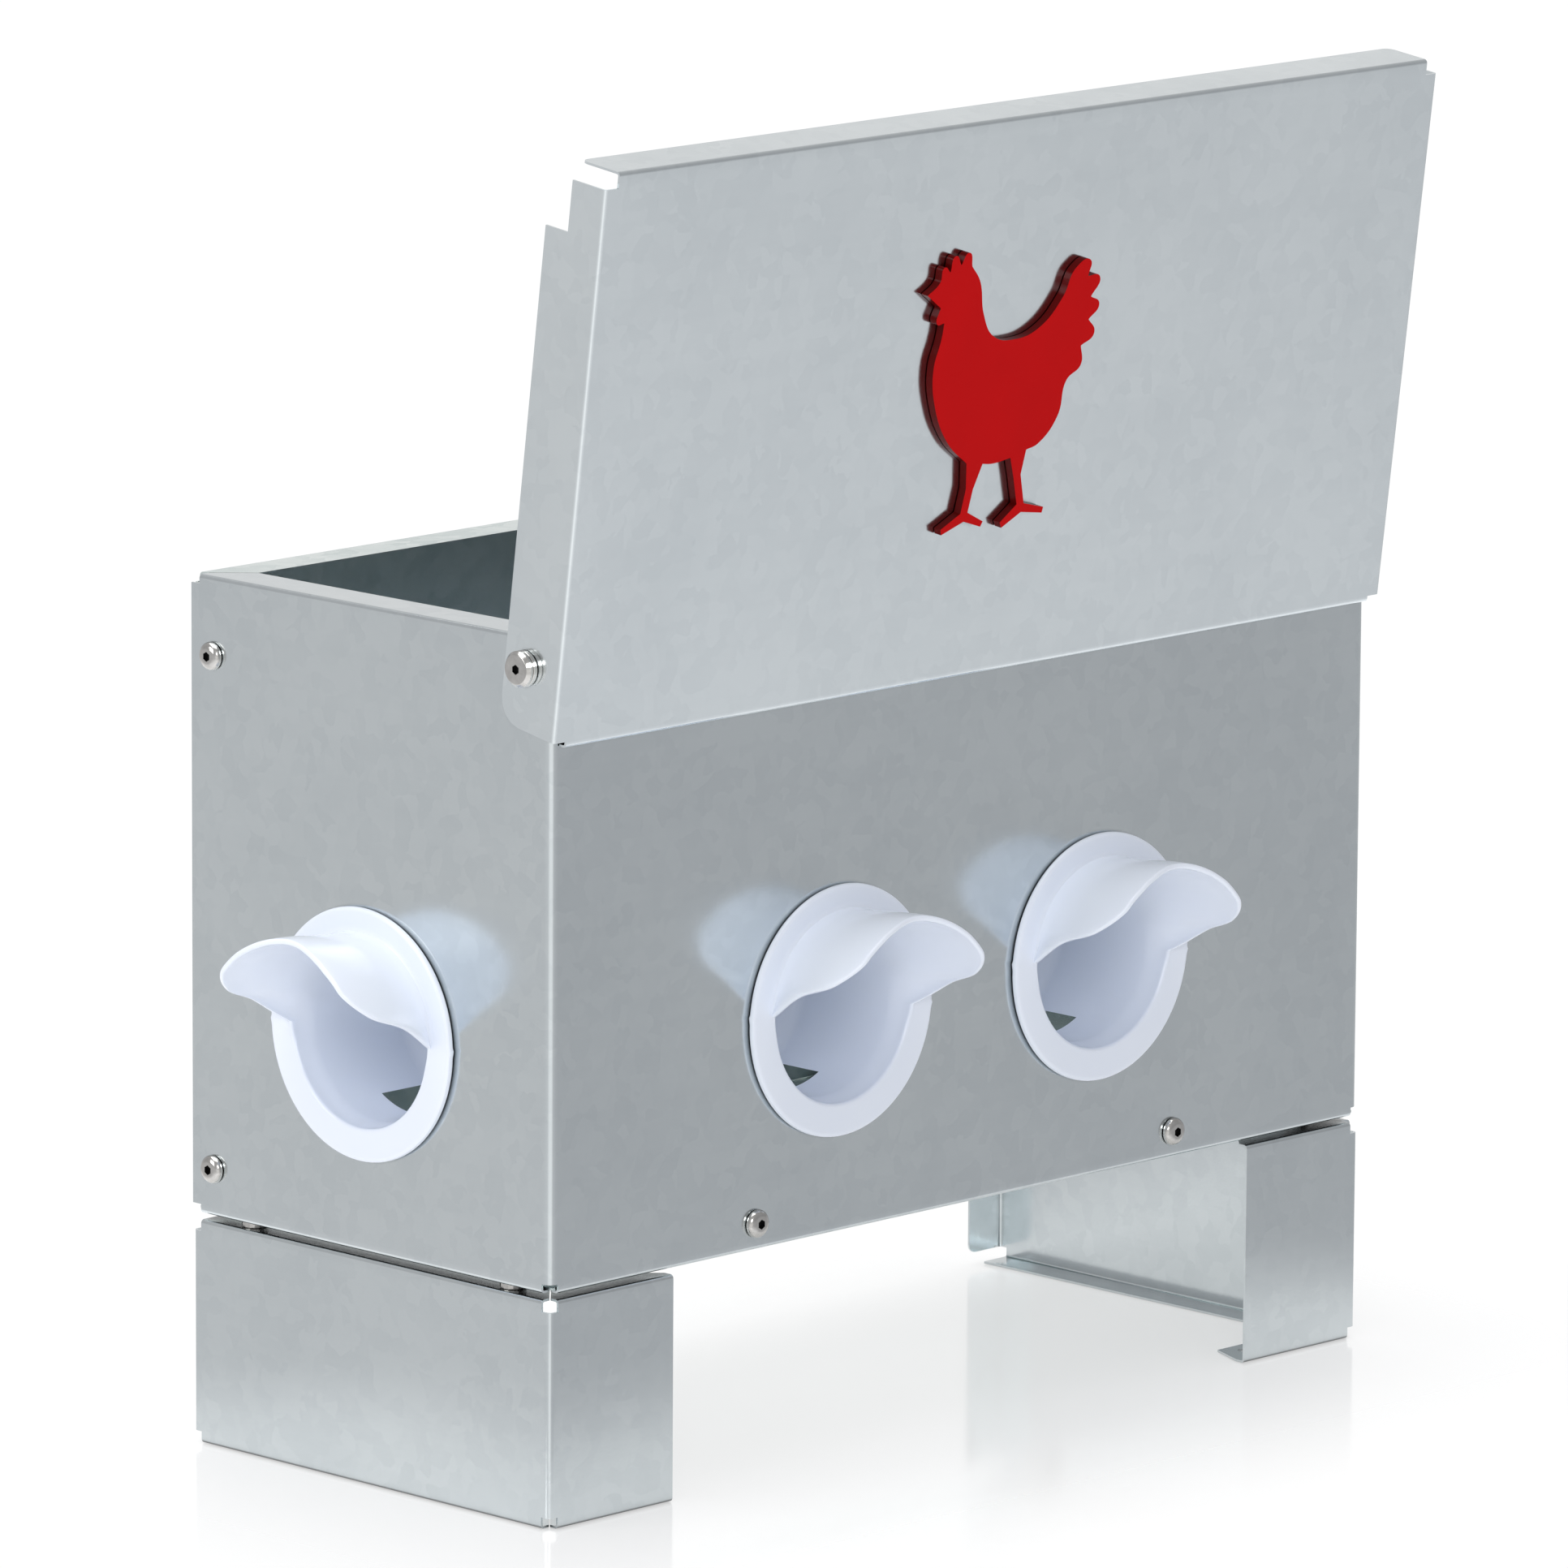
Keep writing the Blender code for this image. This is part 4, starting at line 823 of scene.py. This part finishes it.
def visor_edge(share):
    """Angle, radius and reach of the visor's free edge, from its crown (0) to its root (1)."""
    first, second = VISOR_EDGE[0], VISOR_EDGE[1]
    last, before = VISOR_EDGE[-1], VISOR_EDGE[-2]
    points = [(-second[0], second[1], second[2]), *VISOR_EDGE]
    points.append(tuple(2 * a - b for a, b in zip(last, before)))
    spans = len(VISOR_EDGE) - 1
    start = min(int(share * spans), spans - 1)
    t = share * spans - start
    weights = (
        (-t + 2 * t**2 - t**3) / 2,
        (2 - 5 * t**2 + 3 * t**3) / 2,
        (t + 4 * t**2 - 3 * t**3) / 2,
        (-(t**2) + t**3) / 2,
    )
    near = points[start : start + 4]
    axes = range(len(first))
    degrees, radius, reach = (sum(w * p[axis] for w, p in zip(weights, near)) for axis in axes)
    return degrees, radius, min(reach, VISOR_REACH)


def ease(t):
    return t * t * (3 - 2 * t)


def cup_end(radius, rise, steps=8):
    """Rounded end of the cup, from its pole out to the straight throat."""
    angles = [math.radians(90) * step / steps for step in range(steps + 1)]
    return [(radius * math.sin(angle), -THROAT_LENGTH - rise * math.cos(angle)) for angle in angles]


def port_section(edge_radius, edge_reach, rim_radius):
    """Section of the port, as (radius, height): cup inside, visor or lip, flange, then the cup's back."""
    face = PORT_FLANGE_THICKNESS
    rise = PORT_DEPTH - THROAT_LENGTH
    points = cup_end(THROAT_RADIUS, rise - PORT_WALL)
    points += [(THROAT_RADIUS, -THROAT_LENGTH * share) for share in (0.75, 0.5, 0.3)]
    start = -7.0 * MM
    inner_edge = edge_radius - WALL_HALF
    top = edge_reach - WALL_HALF
    for step in range(15):
        share = step / 14
        radius = THROAT_RADIUS + (inner_edge - THROAT_RADIUS) * ease(share)
        points.append((radius, start + (top - start) * share))
    for step in range(1, 6):
        angle = math.radians(180 - 30 * step)
        height = top + WALL_HALF * math.sin(angle)
        points.append((edge_radius + WALL_HALF * math.cos(angle), height))
    foot = VISOR_ROOT_RADIUS + WALL_HALF
    outer_edge = edge_radius + WALL_HALF
    for step in range(13):
        share = 1 - step / 12
        radius = foot + (outer_edge - foot) * ease(share)
        points.append((radius, face + (top - face) * share))
    tall = min(max((top - face) / (6 * MM), 0.0), 1.0)
    fillet = 1.4 * MM * tall
    points[-1] = (foot + 0.3 * fillet, face + fillet * 0.3)
    points[-2] = (points[-2][0] + 0.02 * fillet, max(points[-2][1], face + fillet))
    points.append((foot + fillet, face))
    points.append((foot + 2.2 * MM, face))
    points = [(radius, max(height, face) if radius > edge_radius else height) for radius, height in points]
    points += [
        (rim_radius - 1.6 * MM, face),
        (rim_radius - 0.8 * MM, face - 0.12 * MM),
        (rim_radius - 0.25 * MM, face - 0.5 * MM),
        (rim_radius, face - 1.1 * MM),
        (rim_radius, face - 1.6 * MM),
        (rim_radius - 0.3 * MM, face - 2.2 * MM),
        (rim_radius - 0.9 * MM, CLEAR),
        (THROAT_RADIUS + PORT_WALL, CLEAR),
    ]
    return points + cup_end(THROAT_RADIUS + PORT_WALL, rise)[::-1]


def port_columns():
    """(angle in degrees from the top, section) all the way round."""
    half = []
    for step in range(VISOR_COLUMNS + 1):
        degrees, radius, reach = visor_edge(step / VISOR_COLUMNS)
        half.append((degrees, radius, max(reach, PORT_FLANGE_THICKNESS)))
    last_degrees, last_radius, last_reach = half[-1]
    lip_radius = PORT_MOUTH_RADIUS
    for step in range(1, LOWER_COLUMNS + 1):
        share = step / LOWER_COLUMNS
        blend = ease(min(share * 6, 1.0))
        radius = last_radius + (lip_radius - last_radius) * blend
        reach = last_reach + (PORT_FLANGE_THICKNESS - last_reach) * blend
        half.append((last_degrees + (180 - last_degrees) * share, radius, reach))
    round_trip = half + [(-degrees, radius, reach) for degrees, radius, reach in half[-2:0:-1]]
    columns = []
    for degrees, radius, reach in round_trip:
        nib = NIB_HEIGHT * math.exp(-(((abs(degrees) - 90) / 0.9) ** 2))
        columns.append((degrees, port_section(radius, reach, PORT_FLANGE_RADIUS + nib)))
    return columns


def port_mesh():
    bm = bmesh.new()
    rings = []
    for degrees, section in port_columns():
        angle = math.radians(degrees)
        turn = Vector((math.sin(angle), math.cos(angle), 0))
        rings.append([bm.verts.new(turn * radius + Vector((0, 0, height))) for radius, height in section])
    for this, following in zip(rings, rings[1:] + rings[:1]):
        for index in range(len(this) - 1):
            bm.faces.new((this[index], following[index], following[index + 1], this[index + 1]))
    bmesh.ops.remove_doubles(bm, verts=bm.verts, dist=1e-6)
    bmesh.ops.recalc_face_normals(bm, faces=bm.faces)
    return mesh_from(bm, "feed_port")


def feed_slot(parent, location, rotation):
    """Cuts away the bottom of the cup behind the wall, where the feed runs in."""
    bm = bmesh.new()
    back = -PORT_DEPTH - 5 * MM
    size = (90 * MM, 30 * MM, -FEED_SLOT_START - back)
    centre = (0, -FEED_SLOT_TOP - 15 * MM, (back - FEED_SLOT_START) / 2)
    bmesh.ops.create_cube(bm, size=1.0, matrix=Matrix.Translation(centre) @ Matrix.Diagonal((*size, 1.0)))
    return add_cutter("feed_slot", bm, parent, location, rotation)


def feed_ports(parent):
    """The four ports and the rings that hold them in the wall. Local +Z faces out and +Y is up."""
    port = port_mesh()
    bore = THROAT_RADIUS + PORT_WALL + CLEAR
    chamfer = 0.6 * MM
    ring_profile = [
        (bore, RING_THICKNESS),
        (RING_RADIUS - chamfer, RING_THICKNESS),
        (RING_RADIUS, RING_THICKNESS - chamfer),
        (RING_RADIUS, chamfer),
        (RING_RADIUS - chamfer, 0.0),
        (bore, 0.0),
    ]
    ring = turned("port_ring", ring_profile, PORT_SEGMENTS)
    for name, (side, place) in port_places().items():
        degrees = PORT_TURN_DEG if side == "front" else END_PORT_TURN_DEG
        turned_in_hole = Euler(FACING[side]).to_matrix() @ Matrix.Rotation(math.radians(degrees), 3, "Z")
        rotation = turned_in_hole.to_euler()
        made = add_object(name, port.copy(), WHITE_PLASTIC, parent, place, rotation)
        boolean(made, feed_slot(parent, place, rotation))
        behind = place - OUTWARD[side] * (SHEET + CLEAR + RING_THICKNESS)
        add_object(name + "_ring", ring.copy(), WHITE_PLASTIC, parent, behind, FACING[side])


# --------------------------------------------------------------------------------------------- lid


def lid(parent):
    """Folded lid: panel, side skirts, back flange and the short front turn-down that is its stop."""
    bm = bmesh.new()
    length = LID_FRONT_REACH + LID_BACK_REACH
    middle = (0, LID_BACK_REACH - length / 2, LID_RISE / 2)
    box_walls(bm, (2 * LID_HALF_WIDTH, length, LID_RISE), middle, [(0, 0, 1)])
    x_relief = LID_HALF_WIDTH - LID_SIDE_RELIEF
    y_front = -LID_FRONT_REACH + LID_FRONT_RELIEF
    y_back = LID_BACK_REACH - LID_BACK_RELIEF
    for x in (-x_relief, x_relief):
        slice_at(bm, (x, 0, 0), (1, 0, 0))
    for y in (y_front, y_back):
        slice_at(bm, (0, y, 0), (0, 1, 0))
    drop_faces(bm, lambda p: abs(p.x) > x_relief and not y_front < p.y < y_back)
    for sign in (-1, 1):
        x = sign * LID_HALF_WIDTH
        fold(bm, (x, y_front, LID_RISE), (x, y_back, LID_RISE), (0, 0, -LID_SKIRT_DEPTH), (1.5 * MM, 0))
    for y, depth in ((-LID_FRONT_REACH, LID_STOP_DEPTH), (LID_BACK_REACH, LID_BACK_FLANGE)):
        fold(bm, (-x_relief, y, LID_RISE), (x_relief, y, LID_RISE), (0, 0, -depth))
    step_z = LID_RISE - LID_SKIRT_STEP_DEPTH
    slice_at(bm, (0, LID_SKIRT_STEP, 0), (0, 1, 0))
    slice_at(bm, (0, 0, step_z), (0, 0, 1))
    drop_faces(bm, lambda p: abs(p.x) > x_relief and p.y > LID_SKIRT_STEP and p.z < step_z)
    round_outline_corners(bm, lambda p: p.y < 0 and p.z < -LID_SKIRT_DEPTH / 4, LID_SKIRT_ROUND, 4)
    round_outline_corners(bm, lambda p: p.y > y_back + CLEAR and p.z < LID_RISE - LID_STOP_DEPTH, 3 * MM)
    round_folds(bm, fold_lines(bm), FOLD_RADIUS, FOLD_SEGMENTS)
    made = add_sheet("lid", bm, parent)
    drill(made, [((sign * LID_HALF_WIDTH, 0, 0), "X", HOLE_RADIUS, 6 * MM) for sign in (-1, 1)], parent)


# Outline of a hen facing left, in millimetres about the emblem's centre. A third value of 1 marks a sharp
# corner; the others are smooth.
HEN = (
    (-43.0, 37.5, 1),
    (-37.5, 41.5, 0),
    (-36.0, 46.5, 0),
    (-33.0, 44.5, 1),
    (-31.0, 50.0, 0),
    (-28.0, 46.5, 1),
    (-24.5, 50.5, 0),
    (-22.5, 45.5, 1),
    (-18.0, 40.0, 0),
    (-14.5, 28.0, 0),
    (-9.0, 20.0, 0),
    (2.0, 17.5, 0),
    (14.0, 20.5, 0),
    (24.0, 30.0, 0),
    (29.0, 39.5, 0),
    (36.0, 41.5, 0),
    (35.5, 36.0, 1),
    (41.5, 35.0, 0),
    (38.0, 28.5, 1),
    (42.5, 25.5, 0),
    (38.0, 20.5, 1),
    (41.5, 15.5, 0),
    (35.5, 11.5, 1),
    (36.5, 5.0, 0),
    (30.0, 0.0, 0),
    (27.5, -12.0, 0),
    (19.0, -21.0, 0),
    (13.5, -22.5, 1),
    (12.0, -31.0, 1),
    (15.0, -41.5, 1),
    (25.0, -44.0, 1),
    (24.5, -46.0, 1),
    (14.0, -44.5, 1),
    (5.0, -49.0, 1),
    (4.0, -47.0, 1),
    (11.5, -41.5, 1),
    (8.5, -31.5, 1),
    (6.0, -24.5, 1),
    (-3.0, -25.5, 0),
    (-7.5, -25.0, 1),
    (-11.0, -33.5, 1),
    (-12.5, -41.5, 1),
    (-4.5, -45.5, 1),
    (-5.5, -47.3, 1),
    (-14.0, -44.5, 1),
    (-24.5, -48.0, 1),
    (-25.0, -46.0, 1),
    (-16.0, -41.5, 1),
    (-14.5, -33.0, 1),
    (-15.5, -24.0, 1),
    (-26.0, -15.5, 0),
    (-34.0, -2.0, 0),
    (-36.5, 11.0, 0),
    (-34.0, 22.0, 0),
    (-33.5, 27.0, 1),
    (-37.0, 27.0, 0),
    (-36.0, 32.5, 1),
)


def hen_emblem(parent):
    """Raised hen silhouette fixed flat on the lid."""
    curve = bpy.data.curves.new("hen_emblem", "CURVE")
    curve.dimensions = "2D"
    curve.fill_mode = "BOTH"
    curve.resolution_u = 14
    curve.extrude = EMBLEM_THICKNESS / 2
    spline = curve.splines.new("BEZIER")
    spline.bezier_points.add(len(HEN) - 1)
    for point, (x, y, sharp) in zip(spline.bezier_points, HEN):
        point.co = (x * MM, y * MM, 0)
        handle = "VECTOR" if sharp else "AUTO"
        point.handle_left_type = handle
        point.handle_right_type = handle
    spline.use_cyclic_u = True
    blank = bpy.data.objects.new("hen_outline", curve)
    bpy.context.scene.collection.objects.link(blank)
    bpy.context.view_layer.update()
    mesh = bpy.data.meshes.new_from_object(blank.evaluated_get(bpy.context.evaluated_depsgraph_get()))
    bpy.data.objects.remove(blank, do_unlink=True)
    bm = bmesh.new()
    bm.from_mesh(mesh)
    bmesh.ops.remove_doubles(bm, verts=bm.verts, dist=1e-6)
    bmesh.ops.recalc_face_normals(bm, faces=bm.faces)
    bm.to_mesh(mesh)
    bm.free()
    height = LID_RISE + CLEAR + EMBLEM_THICKNESS / 2
    add_object("hen_emblem", mesh, RED_ACRYLIC, parent, (EMBLEM_X, EMBLEM_Y, height))


# --------------------------------------------------------------------------------------- fasteners


SOCKET_DEPTH = 1.9 * MM


def add_bolt(name, mesh, head_height, parent, location, rotation):
    """A bolt with a hexagonal socket in its head."""
    bolt = add_object(name, mesh.copy(), STAINLESS, parent, location, rotation)
    bm = bmesh.new()
    hex_prism(bm, HEX_KEY, head_height - SOCKET_DEPTH, head_height + 1 * MM)
    socket = add_cutter(name + "_socket", bm, parent, location, rotation)
    # painted shade: the socket's walls take the near-black socket material through the boolean
    socket.data.materials.append(SOCKET_SHADE)
    boolean(bolt, socket)


def button_bolt_mesh():
    """Button-head screw: the head's seat is at z = 0 and the shank hangs down."""
    mouth = HEX_KEY / math.sqrt(3) + 0.35 * MM
    crown = dome(HEAD_RADIUS, HEAD_HEIGHT, 0.55 * MM, 12)
    head = [(0.0, HEAD_HEIGHT), (mouth, HEAD_HEIGHT)]
    head += [point for point in crown if point[0] > mouth + 0.05 * MM]
    head += [(HEAD_RADIUS, 0.25 * MM), (HEAD_RADIUS - 0.2 * MM, 0.0)]
    shank = [(THREAD_RADIUS, 0.0), (THREAD_RADIUS, -BOLT_LENGTH + 0.5 * MM)]
    tip = [(THREAD_RADIUS - 0.5 * MM, -BOLT_LENGTH), (0.0, -BOLT_LENGTH)]
    return turned("button_bolt", head + shank + tip)


def pivot_bolt_mesh(length):
    """Flat-head connector bolt with a chamfered rim."""
    chamfer = 1.1 * MM
    edge = 0.15 * MM
    top = PIVOT_HEAD_HEIGHT
    return turned(
        "pivot_bolt",
        [
            (0.0, top),
            (PIVOT_HEAD_RADIUS - chamfer - edge, top),
            (PIVOT_HEAD_RADIUS - chamfer + edge, top - edge),
            (PIVOT_HEAD_RADIUS - edge, top - chamfer),
            (PIVOT_HEAD_RADIUS, top - chamfer - edge),
            (PIVOT_HEAD_RADIUS, edge),
            (PIVOT_HEAD_RADIUS - edge, 0.0),
            (THREAD_RADIUS, 0.0),
            (THREAD_RADIUS, -length),
            (0.0, -length),
        ],
    )


def fasteners(parent):
    """Button-head screws for the panels, the ends and the legs. The nuts and rivet nuts keep their CAD
    solids.
    """
    bolt = button_bolt_mesh()
    for face, y in (("front", FRONT_Y), ("back", BACK_Y)):
        for name, seat in panel_bolt_seats(y).items():
            place = seat + OUTWARD[face] * CLEAR
            add_bolt(f"{face}_{name}_bolt", bolt, HEAD_HEIGHT, parent, place, FACING[face])
    for side, sign in (("left", -1), ("right", 1)):
        for name, seat in end_bolt_seats(sign).items():
            place = seat + OUTWARD[side] * CLEAR
            add_bolt(f"{side}_end_{name}_bolt", bolt, HEAD_HEIGHT, parent, place, FACING[side])
        for name, place in leg_bolt_places(sign).items():
            head_seat = Vector((place.x, place.y, PAN_Z + SHEET + CLEAR))
            add_bolt(f"{side}_leg_{name}_bolt", bolt, HEAD_HEIGHT, parent, head_seat, FACING["up"])


def soft_ring(name, outer, inner, height):
    """A flat ring on z = 0 with its edges broken."""
    edge = 0.2 * MM
    profile = [
        (inner, height),
        (outer - edge, height),
        (outer, height - edge),
        (outer, edge),
        (outer - edge, 0.0),
        (inner, 0.0),
    ]
    return turned(name, profile)


def pivots(parent):
    """On each side: bolt and disc outside the lid's skirt, and spacer inside it."""
    disc = soft_ring("pivot_disc", PIVOT_HEAD_RADIUS, THREAD_RADIUS + CLEAR, PIVOT_DISC_HEIGHT)
    gap = LID_HALF_WIDTH - SHEET - HALF_LENGTH
    spacer = soft_ring("pivot_spacer", PIVOT_HEAD_RADIUS, THREAD_RADIUS + CLEAR, gap - 2 * CLEAR)
    seat = LID_HALF_WIDTH + PIVOT_DISC_HEIGHT + 2 * CLEAR
    nut_back = HALF_LENGTH - SHEET - CLEAR - NUT_HEIGHT
    bolt = pivot_bolt_mesh(seat - nut_back + 1 * MM)
    for side in ("left", "right"):
        out = OUTWARD[side]
        axis = Vector((0, PIVOT_Y, PIVOT_Z))
        turn = FACING[side]
        stem = side + "_pivot"
        add_bolt(stem + "_bolt", bolt, PIVOT_HEAD_HEIGHT, parent, axis + out * seat, turn)
        outside = axis + out * (LID_HALF_WIDTH + CLEAR)
        inside = axis + out * (HALF_LENGTH + CLEAR)
        add_object(stem + "_disc", disc.copy(), STAINLESS, parent, outside, turn)
        add_object(stem + "_spacer", spacer.copy(), NYLON, parent, inside, turn)


def build():
    hinge = add_empty("lid_frame", (0, PIVOT_Y, PIVOT_Z), (math.radians(LID_OPEN_DEG), 0, 0))
    bpy.context.view_layer.update()
    front_and_ends(None)
    back_panel(None)
    floor_pan(None)
    leg("left_leg", -1, None)
    leg("right_leg", 1, None)
    feed_ports(None)
    lid(hinge)
    hen_emblem(hinge)
    pivots(None)
    fasteners(None)
    for _, obj, _ in drafts:
        settle(obj)
    for helper in helpers:
        bpy.data.objects.remove(helper, do_unlink=True)
    for node, obj, finish in drafts:
        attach(obj, BODY[node])
        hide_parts(node)
    replaced = {node for node, _, _ in drafts}
    for node, obj in frame["nodes"].items():
        if node not in replaced:
            obj.data.materials.clear()
            obj.data.materials.append(STAINLESS)


build()

# ------------------------------------------------------------------------------ floor, light, camera

FLOOR_HALF = 0.7
FLOOR_CORE = (0.20, 0.075, 1.0)
FLOOR_FADE = 0.16
DIM_SIDE = (0.7, -0.7, 0.0)
VIEW_LINE = (0.713, 0.701, 0.0)
WORLD_STOPS = [
    (0.0, (0.64, 0.64, 0.65)),
    (0.5, (0.78, 0.78, 0.79)),
    (0.75, (0.60, 0.60, 0.61)),
    (1.0, (0.49, 0.495, 0.51)),
]
LENS_LENGTH = 297.6
VIEWPOINT = (-3.13481, -3.08085 + CENTRE_Y, 1.07373)
VIEW_TURN_DEG = (78.9384, -0.3455, -45.4104)
WHITE = (1.0, 1.0, 1.0, 1.0)


def add_floor():
    """Plain pale glossy floor that fades softly into the surround away from the feeder."""
    bm = bmesh.new()
    bmesh.ops.create_grid(bm, x_segments=1, y_segments=1, size=FLOOR_HALF)
    floor = bpy.data.objects.new("floor", mesh_from(bm, "floor"))
    bpy.context.scene.collection.objects.link(floor)
    floor.location.z = -0.0002
    material = bpy.data.materials.new("floor")
    tree, shader = shader_of(material)
    shader.inputs["Base Color"].default_value = (0.42, 0.42, 0.42, 1.0)
    shader.inputs["Roughness"].default_value = 0.10
    shader.inputs["Specular IOR Level"].default_value = 0.4
    shader.inputs["Emission Color"].default_value = WHITE
    shader.inputs["Emission Strength"].default_value = 0.5
    coords = new_node(tree, "ShaderNodeTexCoord")
    size = new_node(tree, "ShaderNodeVectorMath", operation="ABSOLUTE")
    tree.links.new(coords.outputs["Object"], size.inputs[0])
    past = new_node(tree, "ShaderNodeVectorMath", operation="SUBTRACT")
    tree.links.new(size.outputs["Vector"], past.inputs[0])
    past.inputs[1].default_value = FLOOR_CORE
    beyond = new_node(tree, "ShaderNodeVectorMath", operation="MAXIMUM")
    tree.links.new(past.outputs["Vector"], beyond.inputs[0])
    distance = new_node(tree, "ShaderNodeVectorMath", operation="LENGTH")
    tree.links.new(beyond.outputs["Vector"], distance.inputs[0])
    fade = span(tree, distance.outputs["Value"], 0.0, FLOOR_FADE, 1.0, 0.0)
    fade.node.interpolation_type = "SMOOTHSTEP"
    tree.links.new(fade, shader.inputs["Alpha"])
    floor.data.materials.append(material)


def area_light(name, location, target, size, energy):
    light = bpy.data.lights.new(name, "AREA")
    light.shape = "RECTANGLE"
    light.size, light.size_y = size
    light.energy = energy
    obj = bpy.data.objects.new(name, light)
    bpy.context.scene.collection.objects.link(obj)
    obj.location = location
    obj.rotation_euler = (Vector(target) - Vector(location)).to_track_quat("-Z", "Y").to_euler()


def world_dot(tree, coords, axis):
    node = new_node(tree, "ShaderNodeVectorMath", operation="DOT_PRODUCT")
    node.inputs[1].default_value = axis
    tree.links.new(coords.outputs["Generated"], node.inputs[0])
    return node.outputs["Value"]


def studio_world():
    """Soft surround: white along the viewing line, dimmer to the right in front, brighter low down."""
    world = bpy.data.worlds.new("studio")
    bpy.context.scene.world = world
    world.use_nodes = True
    tree = world.node_tree
    background = tree.nodes["Background"]
    coords = new_node(tree, "ShaderNodeTexCoord")
    shade = ramp(tree, span(tree, world_dot(tree, coords, DIM_SIDE), -1.0, 1.0), WORLD_STOPS)
    height = world_dot(tree, coords, (0.0, 0.0, 1.0))
    along = new_node(tree, "ShaderNodeMath", operation="ABSOLUTE")
    tree.links.new(world_dot(tree, coords, VIEW_LINE), along.inputs[0])
    lifted = new_node(tree, "ShaderNodeVectorMath", operation="SCALE")
    tree.links.new(shade, lifted.inputs[0])
    tree.links.new(span(tree, height, -0.22, -0.5, 1.0, 1.75), lifted.inputs["Scale"])
    white = new_node(tree, "ShaderNodeMixRGB")
    tree.links.new(span(tree, along.outputs["Value"], 0.87, 0.955), white.inputs["Fac"])
    tree.links.new(lifted.outputs["Vector"], white.inputs["Color1"])
    white.inputs["Color2"].default_value = (1.02, 1.02, 1.02, 1.0)
    tree.links.new(white.outputs["Color"], background.inputs["Color"])
    tree.links.new(span(tree, height, -0.06, 0.1, 1.0, 0.78), background.inputs["Strength"])


def add_camera():
    """Long lens at the viewing angle, from the front left and a little above."""
    data = bpy.data.cameras.new("camera")
    data.sensor_width = 36.0
    data.lens = LENS_LENGTH
    data.clip_end = 200.0
    camera = bpy.data.objects.new("camera", data)
    bpy.context.scene.collection.objects.link(camera)
    camera.location = VIEWPOINT
    camera.rotation_euler = [math.radians(degrees) for degrees in VIEW_TURN_DEG]
    bpy.context.scene.camera = camera


add_floor()
studio_world()
area_light("overhead", (-0.2, 0.2, 2.4), (0, 0, 0.1), (2.4, 2.4), 36.0)
area_light("front_softbox", (-2.2, -2.4, 1.5), (0, 0, 0.2), (1.0, 1.0), 22.0)
area_light("left_softbox", (-2.6, 0.8, 1.3), (0, 0, 0.2), (1.4, 1.4), 18.0)
add_camera()
bpy.context.scene.view_settings.view_transform = "Standard"
